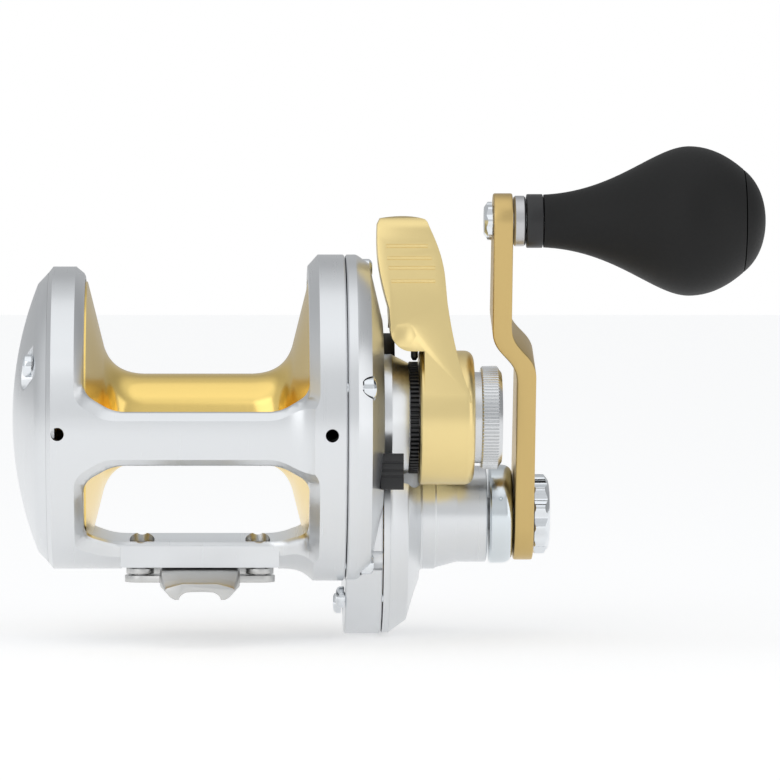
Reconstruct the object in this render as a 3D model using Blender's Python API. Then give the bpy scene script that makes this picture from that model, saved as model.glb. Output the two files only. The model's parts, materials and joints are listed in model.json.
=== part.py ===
"""Lever-drag trolling reel, single speed, as an assembly of separate solids.

+X runs along the spool's axis towards the handle, +Y forward to the rod's tip and +Z up.
The origin is the centre of the seat under the reel foot. Lengths are in metres.
"""

from math import asin, atan2, cos, degrees, hypot, pi, radians, sin, sqrt

import bmesh
import bpy
from mathutils import Matrix

MM = 0.001

# ---------------------------------------------------------------- driving dimensions

CLEARANCE = 0.3 * MM          # between pieces that touch or run in each other
RUNNING_GAP = 0.6 * MM        # between the spool's rims and the frame's bore

FOOT_DEPTH = 6.1 * MM         # from the pad's underside down to the foot's seat
SPOOL_RADIUS = 34.0 * MM
SPOOL_WIDTH = 55.1 * MM       # between the rims' inner edges
SPOOL_MIDDLE = -0.45 * MM
ARBOR_RADIUS = 11.0 * MM
RIM_THICKNESS = 1.25 * MM
FLANGE_FOOT_RADIUS = 17.8 * MM
FLANGE_SLOPE = 0.25           # how far a flange leans in, per length of radius
FLANGE_WALL = 1.7 * MM
ARBOR_BLEND = 10.0 * MM       # length of the curve between flange and arbor

FRAME_WALL = 3.15 * MM
RIGHT_RING_EXTRA = 3.0 * MM   # how far the right ring stands over the bars
LEFT_RING_WIDTH = 10.3 * MM
RIGHT_RING_WIDTH = 9.1 * MM
RING_BEVEL = 2.6 * MM
FLARE_LENGTH = 8.6 * MM
WEB_THICKNESS = 2.0 * MM      # web in the left ring that carries the left cover
WEB_WIDTH = 10.6 * MM         # from the frame's bore to the web's inner edge
REAR_BAR = (-107.0, -85.3)    # degrees from straight up, rearwards is negative
BOTTOM_BAR_HALF = 30.0        # degrees to each side of straight down
WINDOW_CORNER = (7.3 * MM, 4.7 * MM)
DRAIN_RADIUS = 1.63 * MM
DRAIN_ANGLE = -93.8

PAD_HALF = (19.6 * MM, 17.8 * MM)
PAD_SETBACK = 1.35 * MM       # pad's underside inside the bars' outer radius
PAD_THICKNESS = 3.6 * MM

FOOT_HALF_WIDTH = 9.9 * MM
FOOT_BLOCK_HALF = 17.0 * MM
FOOT_HALF_LENGTH = 30.5 * MM
FOOT_TIP = (6.0 * MM, 1.6 * MM)   # half width and thickness at each end
FOOT_LOBE = 1.0 * MM          # how far the lobes hang under the seat
SEAT_HALF_WIDTH = 3.0 * MM
FOOT_SCREW_AT = (14.6 * MM, 14.4 * MM)
EAR_RADIUS = 4.0 * MM
EAR_THICKNESS = 1.7 * MM
SPACER = (3.25 * MM, 1.4 * MM)    # radius and height
FOOT_SCREW = (1.8 * MM, 3.05 * MM, 2.0 * MM)   # shank radius, head radius, head height

DOME_RISE = 7.76 * MM         # height of the left cover's dome
COVER_EDGE = 1.09 * MM        # from the foot of the dome to the cover's rim face
COVER_POCKET_RADIUS = 20.5 * MM
COVER_WALL = 1.7 * MM
CLICKER_ANGLE = -62.0         # degrees from straight up
CLICKER_SETBACK = 8.25 * MM   # from the bars' outer radius to the button, with the clicker off
CLICKER_TRAVEL = 3.2 * MM
CLICKER_POCKET = (4.4 * MM, 3.1 * MM)     # radius, and its floor's height over the rim face
CLICKER_BUTTON = (2.8 * MM, 2.2 * MM)     # radius and height
LEFT_SCREW = (1.2 * MM, 2.2 * MM, 1.5 * MM)   # shank radius, head radius, head height
BUSH_RADIUS = 5.0 * MM
BOSS_WALL = 6.9 * MM
STEM_HALF = 0.8 * MM
TONGUE_HALF = 2.0 * MM
TONGUE_DEPTH = 1.6 * MM
CLICK_GEAR = (13.0 * MM, 2.6 * MM, 24)    # radius, width and teeth

SHAFT_RADIUS = 3.0 * MM
SPOOL_BEARING = (8.0 * MM, 5.0 * MM)      # outer radius and width
PINION_BEARING = (8.0 * MM, 3.4 * MM)
PINION_SLEEVE = 5.0 * MM
DRAG_WASHER = (14.0 * MM, 3.6 * MM, 1.0 * MM)   # inner radius, step in from the spool's rim, width
DRAG_GAP = 0.35 * MM          # between washer and plate with the lever at strike
DRAG_PLATE_WIDTH = 2.1 * MM

PLATE_RIM_WIDTH = 2.8 * MM
PLATE_WIDTH = 9.2 * MM
PLATE_CHAMFER = 2.25 * MM     # width of the plate's bevel outside its cone
CONE_INNER = 25.0 * MM
CONE_HEIGHT = 3.3 * MM
SPIGOT_DEPTH = 2.3 * MM
PLATE_SCREW_ANGLES = (-163.0, -76.5, 10.0, 82.0)
PLATE_SCREW = (1.5 * MM, 2.7 * MM, 3.1 * MM)
PLATE_SCREW_SINK = 2.37 * MM  # from the plate's face to the seats of its screws' heads

GEAR_MODULE = 1.0 * MM
DRIVE_TEETH = 49
PINION_TEETH = 14
BACKLASH = 0.5 * MM
DRIVE_JOURNAL = (6.0 * MM, 2.7 * MM, 2.4 * MM)     # bearing radius, journal radius, width
RATCHET = (2.4 * MM, 12)      # width and teeth
RATCHET_ROOM = 0.35 * MM      # between the ratchet and the wall round the lever's hub
PAWL_WALL = 2.4 * MM          # from the hub's radius to that wall's inner face
DOG_REACH = 4.8 * MM          # from the ratchet's radius to the dog's pin
DOG_ANGLE = 200.0
DOG_SPREAD = 30.0
DOG_BOSS = 2.6 * MM
DOG_PIN = 1.0 * MM
GEAR_WIDTH = 5.0 * MM
DRIVE_DROP = 25.2 * MM        # drive axis below the spool's axis
LOBE_WALL = 4.4 * MM
COVER_SCREW_ANGLES = (-134.6, 147.5)
COVER_SCREW = (1.25 * MM, 2.7 * MM, 2.0 * MM)

BOSS = (15.9 * MM, 13.7 * MM, 12.0 * MM)  # radii of boss, of its cone's end and of the spigot
BOSS_CYLINDER = 2.1 * MM
BOSS_LENGTH = 6.2 * MM
DETENT_RING = (14.0 * MM, 2.2 * MM, 36)
LOBE_COVER_HEIGHT = 9.5 * MM
LOBE_STEP = 2.4 * MM          # thickness of the cover where the hub's ring passes it

HUB_RADIUS = 16.75 * MM
HUB_WIDTH = 13.6 * MM
HUB_ROUNDING = 2.3 * MM
LEVER_TIP = (4.5 * MM, 29.25 * MM)        # radius of the tip, and its centre's distance from the hub
FREE_ANGLE = 81.0
DETENT_PIN = (0.9 * MM, 3.55 * MM)        # radius, and how far it reaches outside the hub's radius
STRIKE_DEPTH = 1.6 * MM
STRIKE_TRAVEL = 1.8 * MM
STRIKE_BLOCK = (24.3 * MM, 30.5, 50.0, 3.5 * MM)   # radius, two angles, height
STOP = (-25.0 * MM, 12.5 * MM, 3.6 * MM, 4.7 * MM)  # place of its outer end, length, depth, height

PRESET = (12.9 * MM, 5.2 * MM, 11.4 * MM, 7.0 * MM)    # knob radius and width, neck, stem
PRESET_TEETH = 40

TUBE = (13.9 * MM, 12.15 * MM)            # radii of the handle tube's foot and end
TUBE_LENGTH = 17.0 * MM
DRIVE_SHAFT_RADIUS = 4.0 * MM
HANDLE_COLLAR = (12.45 * MM, 6.0 * MM)
HANDLE_LEAN = 18.0
ARM_LENGTH = 78.2 * MM
ARM_THICKNESS = 4.8 * MM
ARM_JOG = 6.3 * MM            # how far the outer end steps in towards the reel
ARM_BEND = (38.5 * MM, 52.0 * MM)         # where the step ends and starts, from the drive axis
ARM_RADII = (11.6 * MM, 6.9 * MM)
NUT = (10.2 * MM, 4.0 * MM)

SPINDLE = (2.5 * MM, 4.8 * MM, 1.9 * MM)  # radius, head radius, head height
KNOB_WASHER = (6.3 * MM, 2.9 * MM)
KNOB_COLLAR = (6.7 * MM, 4.0 * MM)
KNOB_LENGTH = 49.5 * MM
KNOB_RADII = (6.6 * MM, 18.6 * MM, 13.0 * MM)
KNOB_WIDEST = 0.73            # share of the grip's length at its widest place
CAP_HEIGHT = 5.4 * MM

# ---------------------------------------------------------------- derived sizes

RIM_LEFT = SPOOL_MIDDLE - SPOOL_WIDTH / 2
RIM_RIGHT = SPOOL_MIDDLE + SPOOL_WIDTH / 2
FRAME_BORE = SPOOL_RADIUS + RUNNING_GAP
WEB_RADIUS = FRAME_BORE - WEB_WIDTH
BAR_RADIUS = FRAME_BORE + FRAME_WALL
RING_RADIUS = BAR_RADIUS + RIGHT_RING_EXTRA
PAD_DROP = BAR_RADIUS - PAD_SETBACK   # pad's underside below the spool's axis
AXIS_HEIGHT = PAD_DROP + FOOT_DEPTH
WINDOW_LEFT = RIM_LEFT + 0.65 * MM
WINDOW_RIGHT = RIM_RIGHT - 0.2 * MM
FRAME_LEFT = WINDOW_LEFT - LEFT_RING_WIDTH
FRAME_RIGHT = WINDOW_RIGHT + RIGHT_RING_WIDTH

COVER_RIM = FRAME_LEFT - CLEARANCE
COVER_TOP = COVER_RIM - COVER_EDGE - DOME_RISE
DOME_FOOT = BAR_RADIUS - 1.2 * MM
CLICKER_OFF_RADIUS = BAR_RADIUS - CLICKER_SETBACK
DOME_RADIUS = (DOME_FOOT ** 2 + DOME_RISE ** 2) / (2 * DOME_RISE)
PLATE_LEFT = FRAME_RIGHT + CLEARANCE
PLATE_RIGHT = PLATE_LEFT + PLATE_WIDTH
CONE_OUTER = RING_RADIUS - PLATE_CHAMFER
GEAR_COVER_LEFT = PLATE_RIGHT + CLEARANCE

DRIVE_RADIUS = GEAR_MODULE * DRIVE_TEETH / 2
PINION_RADIUS = GEAR_MODULE * PINION_TEETH / 2
AXES_APART = DRIVE_RADIUS + PINION_RADIUS
DRIVE_FORWARD = sqrt(AXES_APART ** 2 - DRIVE_DROP ** 2)
DRIVE_TIP = DRIVE_RADIUS + 0.8 * GEAR_MODULE
PINION_TIP = PINION_RADIUS + 0.8 * GEAR_MODULE
CHAMBER_RADIUS = DRIVE_TIP + 0.6 * MM
LOBE_RADIUS = CHAMBER_RADIUS + LOBE_WALL
CHAMBER_LEFT = PLATE_RIGHT - 4.3 * MM
CHAMBER_RIGHT = GEAR_COVER_LEFT + 1.3 * MM
GEAR_LEFT = CHAMBER_LEFT + 2 * CLEARANCE
GEAR_RIGHT = GEAR_LEFT + GEAR_WIDTH
PAWL_CHAMBER = (DRIVE_TIP - 3.8 * MM, CHAMBER_RIGHT + 4.4 * MM)
RATCHET_RADIUS = AXES_APART - HUB_RADIUS - PAWL_WALL - RATCHET_ROOM
DOG_CIRCLE = RATCHET_RADIUS + DOG_REACH
COVER_SCREW_RADIUS = CHAMBER_RADIUS + LOBE_WALL / 2

BEARING_SEAT = SPOOL_BEARING[0] + CLEARANCE
PINION_SEAT = PINION_BEARING[0] + CLEARANCE
SHAFT_BORE = SHAFT_RADIUS + CLEARANCE
SLEEVE_BORE = PINION_SLEEVE + CLEARANCE

SPOOL_RIGHT = RIM_RIGHT + RIM_THICKNESS
WASHER_SEAT = RIM_RIGHT + 0.1 * MM
WASHER_LEFT = WASHER_SEAT + CLEARANCE
WASHER_RADIUS = SPOOL_RADIUS - DRAG_WASHER[1]
DRAG_PLATE_LEFT = WASHER_LEFT + DRAG_WASHER[2] + DRAG_GAP
DRAG_PLATE_RIGHT = DRAG_PLATE_LEFT + DRAG_PLATE_WIDTH
SPOOL_HUB_LEFT = RIM_LEFT - 4.9 * MM
CLICK_GEAR_LEFT = SPOOL_HUB_LEFT - CLEARANCE - CLICK_GEAR[1]
NOSE_RADIUS = BEARING_SEAT + 1.2 * MM

BOSS_RIGHT = GEAR_COVER_LEFT + BOSS_LENGTH
RING_LEFT = BOSS_RIGHT + 0.2 * MM
RING_RIGHT = RING_LEFT + DETENT_RING[1]
HUB_LEFT = RING_RIGHT + CLEARANCE
HUB_RIGHT = HUB_LEFT + HUB_WIDTH
HUB_BORE = BOSS[2] + 0.5 * MM
HUB_WALL = (HUB_RIGHT - 3.5 * MM, HUB_RIGHT - 1.3 * MM)
LEVER_TOP = HUB_RADIUS + LEVER_TIP[1]     # height of the tip's centre
LEVER_ROOT = HUB_RADIUS - 0.15 * MM       # half width of the arm where it meets the hub
CAM_LEFT = HUB_LEFT + 0.5 * MM
CAM_RIGHT = CAM_LEFT + 4.5 * MM
FOLLOWER_LEFT = CAM_RIGHT + 1.0 * MM
FOLLOWER_RIGHT = FOLLOWER_LEFT + 2.6 * MM
STEM_LEFT = FOLLOWER_RIGHT + CLEARANCE
NECK_LEFT = HUB_WALL[1] + 0.9 * MM
PRESET_LEFT = HUB_RIGHT + 1.8 * MM
PRESET_RIGHT = PRESET_LEFT + PRESET[1]

TUBE_RIGHT = GEAR_COVER_LEFT + LOBE_COVER_HEIGHT + TUBE_LENGTH
TUBE_SEAT = TUBE_RIGHT - PINION_BEARING[1] - 1.6 * MM
COLLAR_LEFT = TUBE_RIGHT + 2 * CLEARANCE
ARM_LEFT = COLLAR_LEFT + HANDLE_COLLAR[1] + CLEARANCE
ARM_RIGHT = ARM_LEFT + ARM_THICKNESS
TIP_LEFT = ARM_LEFT - ARM_JOG
TIP_RIGHT = TIP_LEFT + ARM_THICKNESS
NUT_LEFT = ARM_RIGHT + CLEARANCE

WASHER_X = TIP_RIGHT + CLEARANCE
COLLAR_X = WASHER_X + KNOB_WASHER[1] + CLEARANCE
GRIP_LEFT = COLLAR_X + KNOB_COLLAR[1] + CLEARANCE
GRIP_RIGHT = GRIP_LEFT + KNOB_LENGTH
CAP_LEFT = GRIP_RIGHT + CLEARANCE

FOOT_TOP = -PAD_DROP - CLEARANCE
SEAT_LEVEL = -AXIS_HEIGHT

HEAD_SEAT = -PAD_DROP + 2.2 * MM      # level of the foot screws' heads, from the spool's axis
EAR_TOP = FOOT_TOP - SPACER[1] - CLEARANCE
EAR_LOW = EAR_TOP - EAR_THICKNESS
PLATE_SCREW_CIRCLE = BAR_RADIUS - 0.35 * MM
LEFT_SCREW_CIRCLE = WEB_RADIUS + 5 * MM
BOSS_END = COVER_RIM - 0.6 * MM
SHAFT_POCKET = COVER_TOP + 1.9 * MM

ROUND = 40                    # sides of the large round pieces
MEDIUM_ROUND = 28             # sides of chambers, collars and the knob
SMALL_ROUND = 16              # sides of bearings, bores and screws
FRAME_SIDES = 48
WELD = 0.003 * MM             # points nearer than this become one after each cut

# ---------------------------------------------------------------- materials

FINISHES = {
    "silver": ((0.80, 0.81, 0.83), 1.0, 0.28),
    "gold": ((0.83, 0.62, 0.24), 1.0, 0.22),
    "lever_gold": ((0.80, 0.66, 0.36), 1.0, 0.38),
    "chrome": ((0.78, 0.80, 0.82), 1.0, 0.10),
    "steel": ((0.55, 0.55, 0.56), 1.0, 0.32),
    "foot_grey": ((0.52, 0.52, 0.51), 1.0, 0.38),
    "brass": ((0.75, 0.58, 0.28), 1.0, 0.30),
    "black": ((0.02, 0.02, 0.02), 0.0, 0.45),
    "rubber": ((0.025, 0.025, 0.027), 0.0, 0.75),
    "carbon": ((0.06, 0.06, 0.065), 0.0, 0.60),
}


def make_material(finish):
    colour, metallic, roughness = FINISHES[finish]
    material = bpy.data.materials.new(finish)
    material.use_nodes = True
    shader = material.node_tree.nodes["Principled BSDF"]
    shader.inputs["Base Color"].default_value = (*colour, 1.0)
    shader.inputs["Metallic"].default_value = metallic
    shader.inputs["Roughness"].default_value = roughness
    return material


# ---------------------------------------------------------------- outlines

def arc(centre, radius, start, end, steps):
    """Points on a circle from one angle to another, in degrees from the first axis."""
    angles = [radians(start + (end - start) * i / steps) for i in range(steps + 1)]
    return [(centre[0] + radius * cos(a), centre[1] + radius * sin(a)) for a in angles]


def curve(p0, p1, p2, p3, steps):
    """Points on a cubic Bezier curve."""
    points = []
    for i in range(steps + 1):
        t = i / steps
        weights = ((1 - t) ** 3, 3 * t * (1 - t) ** 2, 3 * t * t * (1 - t), t ** 3)
        points.append(tuple(
            sum(w * p[axis] for w, p in zip(weights, (p0, p1, p2, p3))) for axis in (0, 1)
        ))
    return points


def rounded(corners, radius, steps=3):
    """A polygon with each corner turned into an arc of about the given radius."""
    points = []
    count = len(corners)
    for i, corner in enumerate(corners):
        before, after = corners[i - 1], corners[(i + 1) % count]
        ends = []
        for other in (before, after):
            length = hypot(other[0] - corner[0], other[1] - corner[1])
            reach = min(radius, 0.45 * length) / length
            ends.append([corner[k] + (other[k] - corner[k]) * reach for k in (0, 1)])
        for step in range(steps + 1):
            t = step / steps
            points.append(tuple(
                (1 - t) ** 2 * ends[0][k] + 2 * t * (1 - t) * corner[k] + t * t * ends[1][k]
                for k in (0, 1)
            ))
    return points


def polar(radius, angle):
    """(y, z) at a radius and an angle in degrees from straight up, forward positive."""
    return radius * sin(radians(angle)), radius * cos(radians(angle))


def ring_sector(inner, outer, start, end, steps=4):
    """(y, z) outline of a piece of a ring, between two angles from straight up."""
    angles = [start + (end - start) * i / steps for i in range(steps + 1)]
    return [polar(outer, a) for a in angles] + [polar(inner, a) for a in reversed(angles)]


def toothed(teeth, root, tip, root_share, tip_share, phase=0.0):
    """(y, z) outline of a wheel; the shares give a tooth's width at root and tip."""
    pitch = 360.0 / teeth
    points = []
    for tooth in range(teeth):
        middle = phase + tooth * pitch
        for radius, share in ((root, -root_share), (tip, -tip_share), (tip, tip_share), (root, root_share)):
            points.append(polar(radius, middle + share * pitch / 2))
    return points


def gear_teeth(teeth, phase):
    """Outline of a spur gear with straight flanks and stub teeth."""
    pitch_radius = GEAR_MODULE * teeth / 2
    root = pitch_radius - 1.2 * GEAR_MODULE
    tip = pitch_radius + 0.8 * GEAR_MODULE
    half = (pi * GEAR_MODULE / 2 - BACKLASH) / 2
    slope = 0.36
    root_share = (half + slope * 1.2 * GEAR_MODULE) / (pi * root / teeth)
    tip_share = (half - slope * 0.8 * GEAR_MODULE) / (pi * tip / teeth)
    return toothed(teeth, root, tip, min(root_share, 0.8), tip_share, phase)


# ---------------------------------------------------------------- solids

def closed(mesh):
    """Turns every face outwards."""
    bmesh.ops.recalc_face_normals(mesh, faces=mesh.faces)
    if mesh.calc_volume(signed=True) < 0:
        bmesh.ops.reverse_faces(mesh, faces=mesh.faces)
    return mesh


def turned(profile, steps=SMALL_ROUND):
    """Solid of revolution about X from a profile of (x, r) once round its outline."""
    mesh = bmesh.new()
    rings = []
    for x, radius in profile:
        if radius <= 0:
            rings.append([mesh.verts.new((x, 0, 0))])
        else:
            turns = [2 * pi * i / steps for i in range(steps)]
            rings.append([mesh.verts.new((x, radius * cos(a), radius * sin(a))) for a in turns])
    for ring, following in zip(rings, rings[1:] + rings[:1]):
        for i in range(steps):
            j = (i + 1) % steps
            if len(ring) > 1 and len(following) > 1:
                mesh.faces.new((ring[i], ring[j], following[j], following[i]))
            elif len(ring) > 1:
                mesh.faces.new((ring[i], ring[j], following[0]))
            elif len(following) > 1:
                mesh.faces.new((ring[0], following[j], following[i]))
    return closed(mesh)


def loft(sections):
    """Solid through sections that each hold the same number of (x, y, z) points."""
    mesh = bmesh.new()
    rings = [[mesh.verts.new(point) for point in section] for section in sections]
    count = len(rings[0])
    for ring, following in zip(rings, rings[1:]):
        for i in range(count):
            j = (i + 1) % count
            mesh.faces.new((ring[i], ring[j], following[j], following[i]))
    mesh.faces.new(rings[0])
    mesh.faces.new(rings[-1])
    return closed(mesh)


def prism(outline, low, high, axis):
    """An outline of two coordinates extruded from low to high along the third axis."""
    place = {
        "X": lambda p, level: (level, p[0], p[1]),
        "Y": lambda p, level: (p[0], level, p[1]),
        "Z": lambda p, level: (p[0], p[1], level),
    }[axis]
    return loft([[place(point, level) for point in outline] for level in (low, high)])


def tube(left, right, outer, inner, steps=SMALL_ROUND):
    return turned([(left, outer), (right, outer), (right, inner), (left, inner)], steps)


def rod(left, right, radius, steps=SMALL_ROUND):
    return turned([(left, 0), (left, radius), (right, radius), (right, 0)], steps)


def box(low, high):
    outline = [(low[0], low[1]), (high[0], low[1]), (high[0], high[1]), (low[0], high[1])]
    return prism(outline, low[2], high[2], "Z")


def moved(mesh, x=0.0, y=0.0, z=0.0, turn=0.0, axis="X"):
    """Turns a mesh about an axis, in degrees, and then moves it."""
    matrix = Matrix.Translation((x, y, z)) @ Matrix.Rotation(radians(turn), 4, axis)
    bmesh.ops.transform(mesh, matrix=matrix, verts=mesh.verts)
    return mesh


def upright(mesh):
    """Turns a solid made about X so that its left end is at the top and it runs down along Z."""
    return moved(mesh, turn=90, axis="Y")


def group(meshes):
    """Several separate solids in one mesh, for a cutter."""
    whole = bmesh.new()
    for part in meshes:
        data = bpy.data.meshes.new("part")
        part.to_mesh(data)
        part.free()
        whole.from_mesh(data)
        bpy.data.meshes.remove(data)
    return whole


# ---------------------------------------------------------------- objects

def axis_empty(name, location, parent=None, turn=0.0):
    empty = bpy.data.objects.new(name, None)
    bpy.context.collection.objects.link(empty)
    empty.location = location
    empty.rotation_euler = (radians(turn), 0, 0)
    empty.parent = parent
    return empty


def add(name, mesh, finish, parent, sharp=30.0):
    """Makes a named object from a mesh in its parent's frame."""
    data = bpy.data.meshes.new(name)
    mesh.to_mesh(data)
    mesh.free()
    data.shade_smooth()
    data.set_sharp_from_angle(angle=radians(sharp))
    obj = bpy.data.objects.new(name, data)
    bpy.context.collection.objects.link(obj)
    obj.parent = parent
    obj.data.materials.append(materials[finish])
    return obj


def tool(target, mesh, operation, parent=None):
    """Cuts a hidden solid from an object, or joins or intersects it."""
    data = bpy.data.meshes.new(target.name + "_tool")
    mesh.to_mesh(data)
    mesh.free()
    helper = bpy.data.objects.new(target.name + "_tool", data)
    bpy.context.collection.objects.link(helper)
    helper.parent = parent or target.parent
    helper.hide_render = True
    helper.display_type = "WIRE"
    modifier = target.modifiers.new("Boolean", "BOOLEAN")
    modifier.operation = operation
    modifier.solver = "EXACT"
    modifier.object = helper
    target.modifiers.new("Weld", "WELD").merge_threshold = WELD
    return helper


def cut(target, mesh, parent=None):
    return tool(target, mesh, "DIFFERENCE", parent)


def join(target, mesh, parent=None):
    return tool(target, mesh, "UNION", parent)


# ---------------------------------------------------------------- frame

def wrapped_window(start, end):
    """Cutter for a window in the frame, flared outwards, bent round the spool's axis."""
    levels = [
        (FRAME_BORE - 4 * MM, 0.0, 0.0),
        (FRAME_BORE + 0.8 * MM, 0.0, 0.0),
        (BAR_RADIUS + 0.2 * MM, RING_BEVEL - 0.2 * MM, 0.0),
        (RING_RADIUS + 2 * MM, RING_BEVEL + 2 * MM, RING_BEVEL + 1.7 * MM),
    ]
    low, high = radians(start) * BAR_RADIUS, radians(end) * BAR_RADIUS
    sections = []
    for radius, grow, right_grow in levels:
        left, right = WINDOW_LEFT - grow, WINDOW_RIGHT + right_grow
        bottom, top = low - grow, high + grow
        across, along = WINDOW_CORNER
        corners = [
            (left, bottom + along), (left + across, bottom), (right - across, bottom),
            (right, bottom + along), (right, top - along), (right - across, top),
            (left + across, top), (left, top - along),
        ]
        sections.append([(x, s, radius) for x, s in rounded(corners, 3 * MM, 2)])
    mesh = loft(sections)
    step = 2 * pi / FRAME_SIDES * BAR_RADIUS
    first, last = int(low / step) - 2, int(high / step) + 2
    for i in range(first, last + 1):
        everything = mesh.verts[:] + mesh.edges[:] + mesh.faces[:]
        plane = (0, i * step, 0)
        bmesh.ops.bisect_plane(mesh, geom=everything, plane_co=plane, plane_no=(0, 1, 0))
    bmesh.ops.triangulate(mesh, faces=mesh.faces)
    for vertex in mesh.verts:
        x, s, radius = vertex.co
        angle = s / BAR_RADIUS
        vertex.co = (x, radius * sin(angle), radius * cos(angle))
    return closed(mesh)


def make_frame(spool_axis):
    flare = curve(
        (WINDOW_RIGHT - FLARE_LENGTH + 1 * MM, BAR_RADIUS),
        (WINDOW_RIGHT - 3.5 * MM, BAR_RADIUS),
        (WINDOW_RIGHT - 1.5 * MM, BAR_RADIUS + 0.2 * MM),
        (WINDOW_RIGHT + 1.2 * MM, RING_RADIUS), 5,
    )
    web = FRAME_LEFT + WEB_THICKNESS
    profile = [
        (FRAME_LEFT, BAR_RADIUS), *flare, (FRAME_RIGHT, RING_RADIUS), (FRAME_RIGHT, FRAME_BORE),
        (web, FRAME_BORE), (web, WEB_RADIUS), (FRAME_LEFT, WEB_RADIUS),
    ]
    frame = add("reel_frame", turned(profile, FRAME_SIDES), "silver", spool_axis)
    x, y = PAD_HALF
    join(frame, box((-x, -y, -PAD_DROP), (x, y, -PAD_DROP + PAD_THICKNESS)))
    cut(frame, box((-x, -y, -BAR_RADIUS - 2 * MM), (x, y, -PAD_DROP)))
    rear_low, rear_high = REAR_BAR
    bottom = 180 - BOTTOM_BAR_HALF
    cut(frame, wrapped_window(rear_high, -rear_high))
    cut(frame, wrapped_window(-bottom, rear_low))
    cut(frame, wrapped_window(-rear_low, bottom))
    drills = []
    for place in (WINDOW_LEFT - 6.3 * MM, WINDOW_RIGHT + 5.4 * MM):
        drill = upright(rod(FRAME_BORE - 1 * MM, RING_RADIUS + 2 * MM, DRAIN_RADIUS, 12))
        drills.append(moved(moved(drill, x=place), turn=180 - DRAIN_ANGLE))
    for angle in PLATE_SCREW_ANGLES:
        y, z = polar(PLATE_SCREW_CIRCLE, angle)
        hole = rod(FRAME_RIGHT - 6.5 * MM, FRAME_RIGHT + 1 * MM, PLATE_SCREW[0] + CLEARANCE, 12)
        drills.append(moved(hole, y=y, z=z))
    for y, z in cover_screw_places():
        start = FRAME_RIGHT - COVER_SCREW[2] - CLEARANCE
        room = rod(start, FRAME_RIGHT + 1 * MM, COVER_SCREW[1] + CLEARANCE, 12)
        drills.append(moved(room, y=y + DRIVE_FORWARD, z=z - DRIVE_DROP))
    for y, z in left_screw_places():
        hole = rod(FRAME_LEFT - 1 * MM, web + 1 * MM, LEFT_SCREW[0] + CLEARANCE, 12)
        drills.append(moved(hole, y=y, z=z))
    cut(frame, group(drills))
    shank, head = FOOT_SCREW[0] + CLEARANCE, FOOT_SCREW[1] + CLEARANCE
    top = HEAD_SEAT + 6 * MM
    end = PAD_DROP + 1 * MM
    for x, y in foot_corners():
        profile = [(-top, 0), (-top, head), (-HEAD_SEAT, head), (-HEAD_SEAT, shank), (end, shank), (end, 0)]
        cut(frame, moved(upright(turned(profile, 12)), x=x, y=y))


def left_screw_places():
    return [polar(LEFT_SCREW_CIRCLE, angle) for angle in (0.0, 120.0, 240.0)]


def foot_corners():
    x, y = FOOT_SCREW_AT
    return [(sx * x, sy * y) for sx in (-1, 1) for sy in (-1, 1)]


# ---------------------------------------------------------------- foot

def foot_section(y, half_width, top, shoulder):
    """One section of the foot across the rod; shoulder is the drop of the top's sides."""
    bottom = SEAT_LEVEL - FOOT_LOBE
    half = [
        (0.5 * half_width, top), (half_width, top - shoulder),
        (half_width, min(bottom + 2.6 * MM, top - shoulder - 0.3 * MM)),
        (half_width - 2.4 * MM, bottom), (half_width - 3.5 * MM, bottom),
        (SEAT_HALF_WIDTH * half_width / FOOT_HALF_WIDTH, SEAT_LEVEL),
    ]
    outline = half + [(-x, z) for x, z in reversed(half)]
    return [(x, y, z) for x, z in outline]


def make_foot(spool_axis):
    tip_width, tip_height = FOOT_TIP
    stations = [
        (-FOOT_HALF_LENGTH, tip_width, SEAT_LEVEL + tip_height, 1.2 * MM),
        (-FOOT_BLOCK_HALF, FOOT_HALF_WIDTH, FOOT_TOP, 0.0),
        (FOOT_BLOCK_HALF, FOOT_HALF_WIDTH, FOOT_TOP, 0.0),
        (FOOT_HALF_LENGTH, tip_width, SEAT_LEVEL + tip_height, 1.2 * MM),
    ]
    foot = add("reel_foot", loft([foot_section(*s) for s in stations]), "foot_grey", spool_axis)
    for side in (-1, 1):
        y = side * FOOT_SCREW_AT[1]
        ears = arc((FOOT_SCREW_AT[0], y), EAR_RADIUS, -90, 90, 8)
        ears += arc((-FOOT_SCREW_AT[0], y), EAR_RADIUS, 90, 270, 8)
        join(foot, prism(ears, EAR_LOW, EAR_TOP, "Z"))
    holes = []
    for x, y in foot_corners():
        hole = upright(rod(-EAR_TOP - 1 * MM, -EAR_LOW + 1 * MM, FOOT_SCREW[0] + CLEARANCE, 12))
        holes.append(moved(hole, x=x, y=y))
    cut(foot, group(holes))
    shank, head, height = FOOT_SCREW
    for number, (x, y) in enumerate(foot_corners(), 1):
        spacer = upright(tube(-FOOT_TOP, -FOOT_TOP + SPACER[1], SPACER[0], shank + CLEARANCE, 12))
        add(f"foot_spacer_{number}", moved(spacer, x=x, y=y), "foot_grey", spool_axis)
        seat = -HEAD_SEAT - CLEARANCE
        socket = 1.3 * MM
        end = -EAR_LOW - 0.1 * MM
        profile = [
            (seat - 0.6 * height, 0), (seat - 0.6 * height, socket), (seat - height, socket),
            (seat - height, head), (seat, head), (seat, shank), (end, shank), (end, 0),
        ]
        add(f"foot_screw_{number}", moved(upright(turned(profile, 12)), x=x, y=y), "steel", spool_axis)


# ---------------------------------------------------------------- left cover and clicker

def dome_x(radius):
    """x of the dome's surface at a radius."""
    return COVER_TOP + DOME_RADIUS - sqrt(DOME_RADIUS ** 2 - radius ** 2)


def clicker_slot(x_low, x_high, half_width, start, end):
    """A slot with round ends that runs along the clicker's radius."""
    outline = arc((end, 0), half_width, -90, 90, 6) + arc((start, 0), half_width, 90, 270, 6)
    return prism(along_clicker(outline), x_low, x_high, "X")


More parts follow.
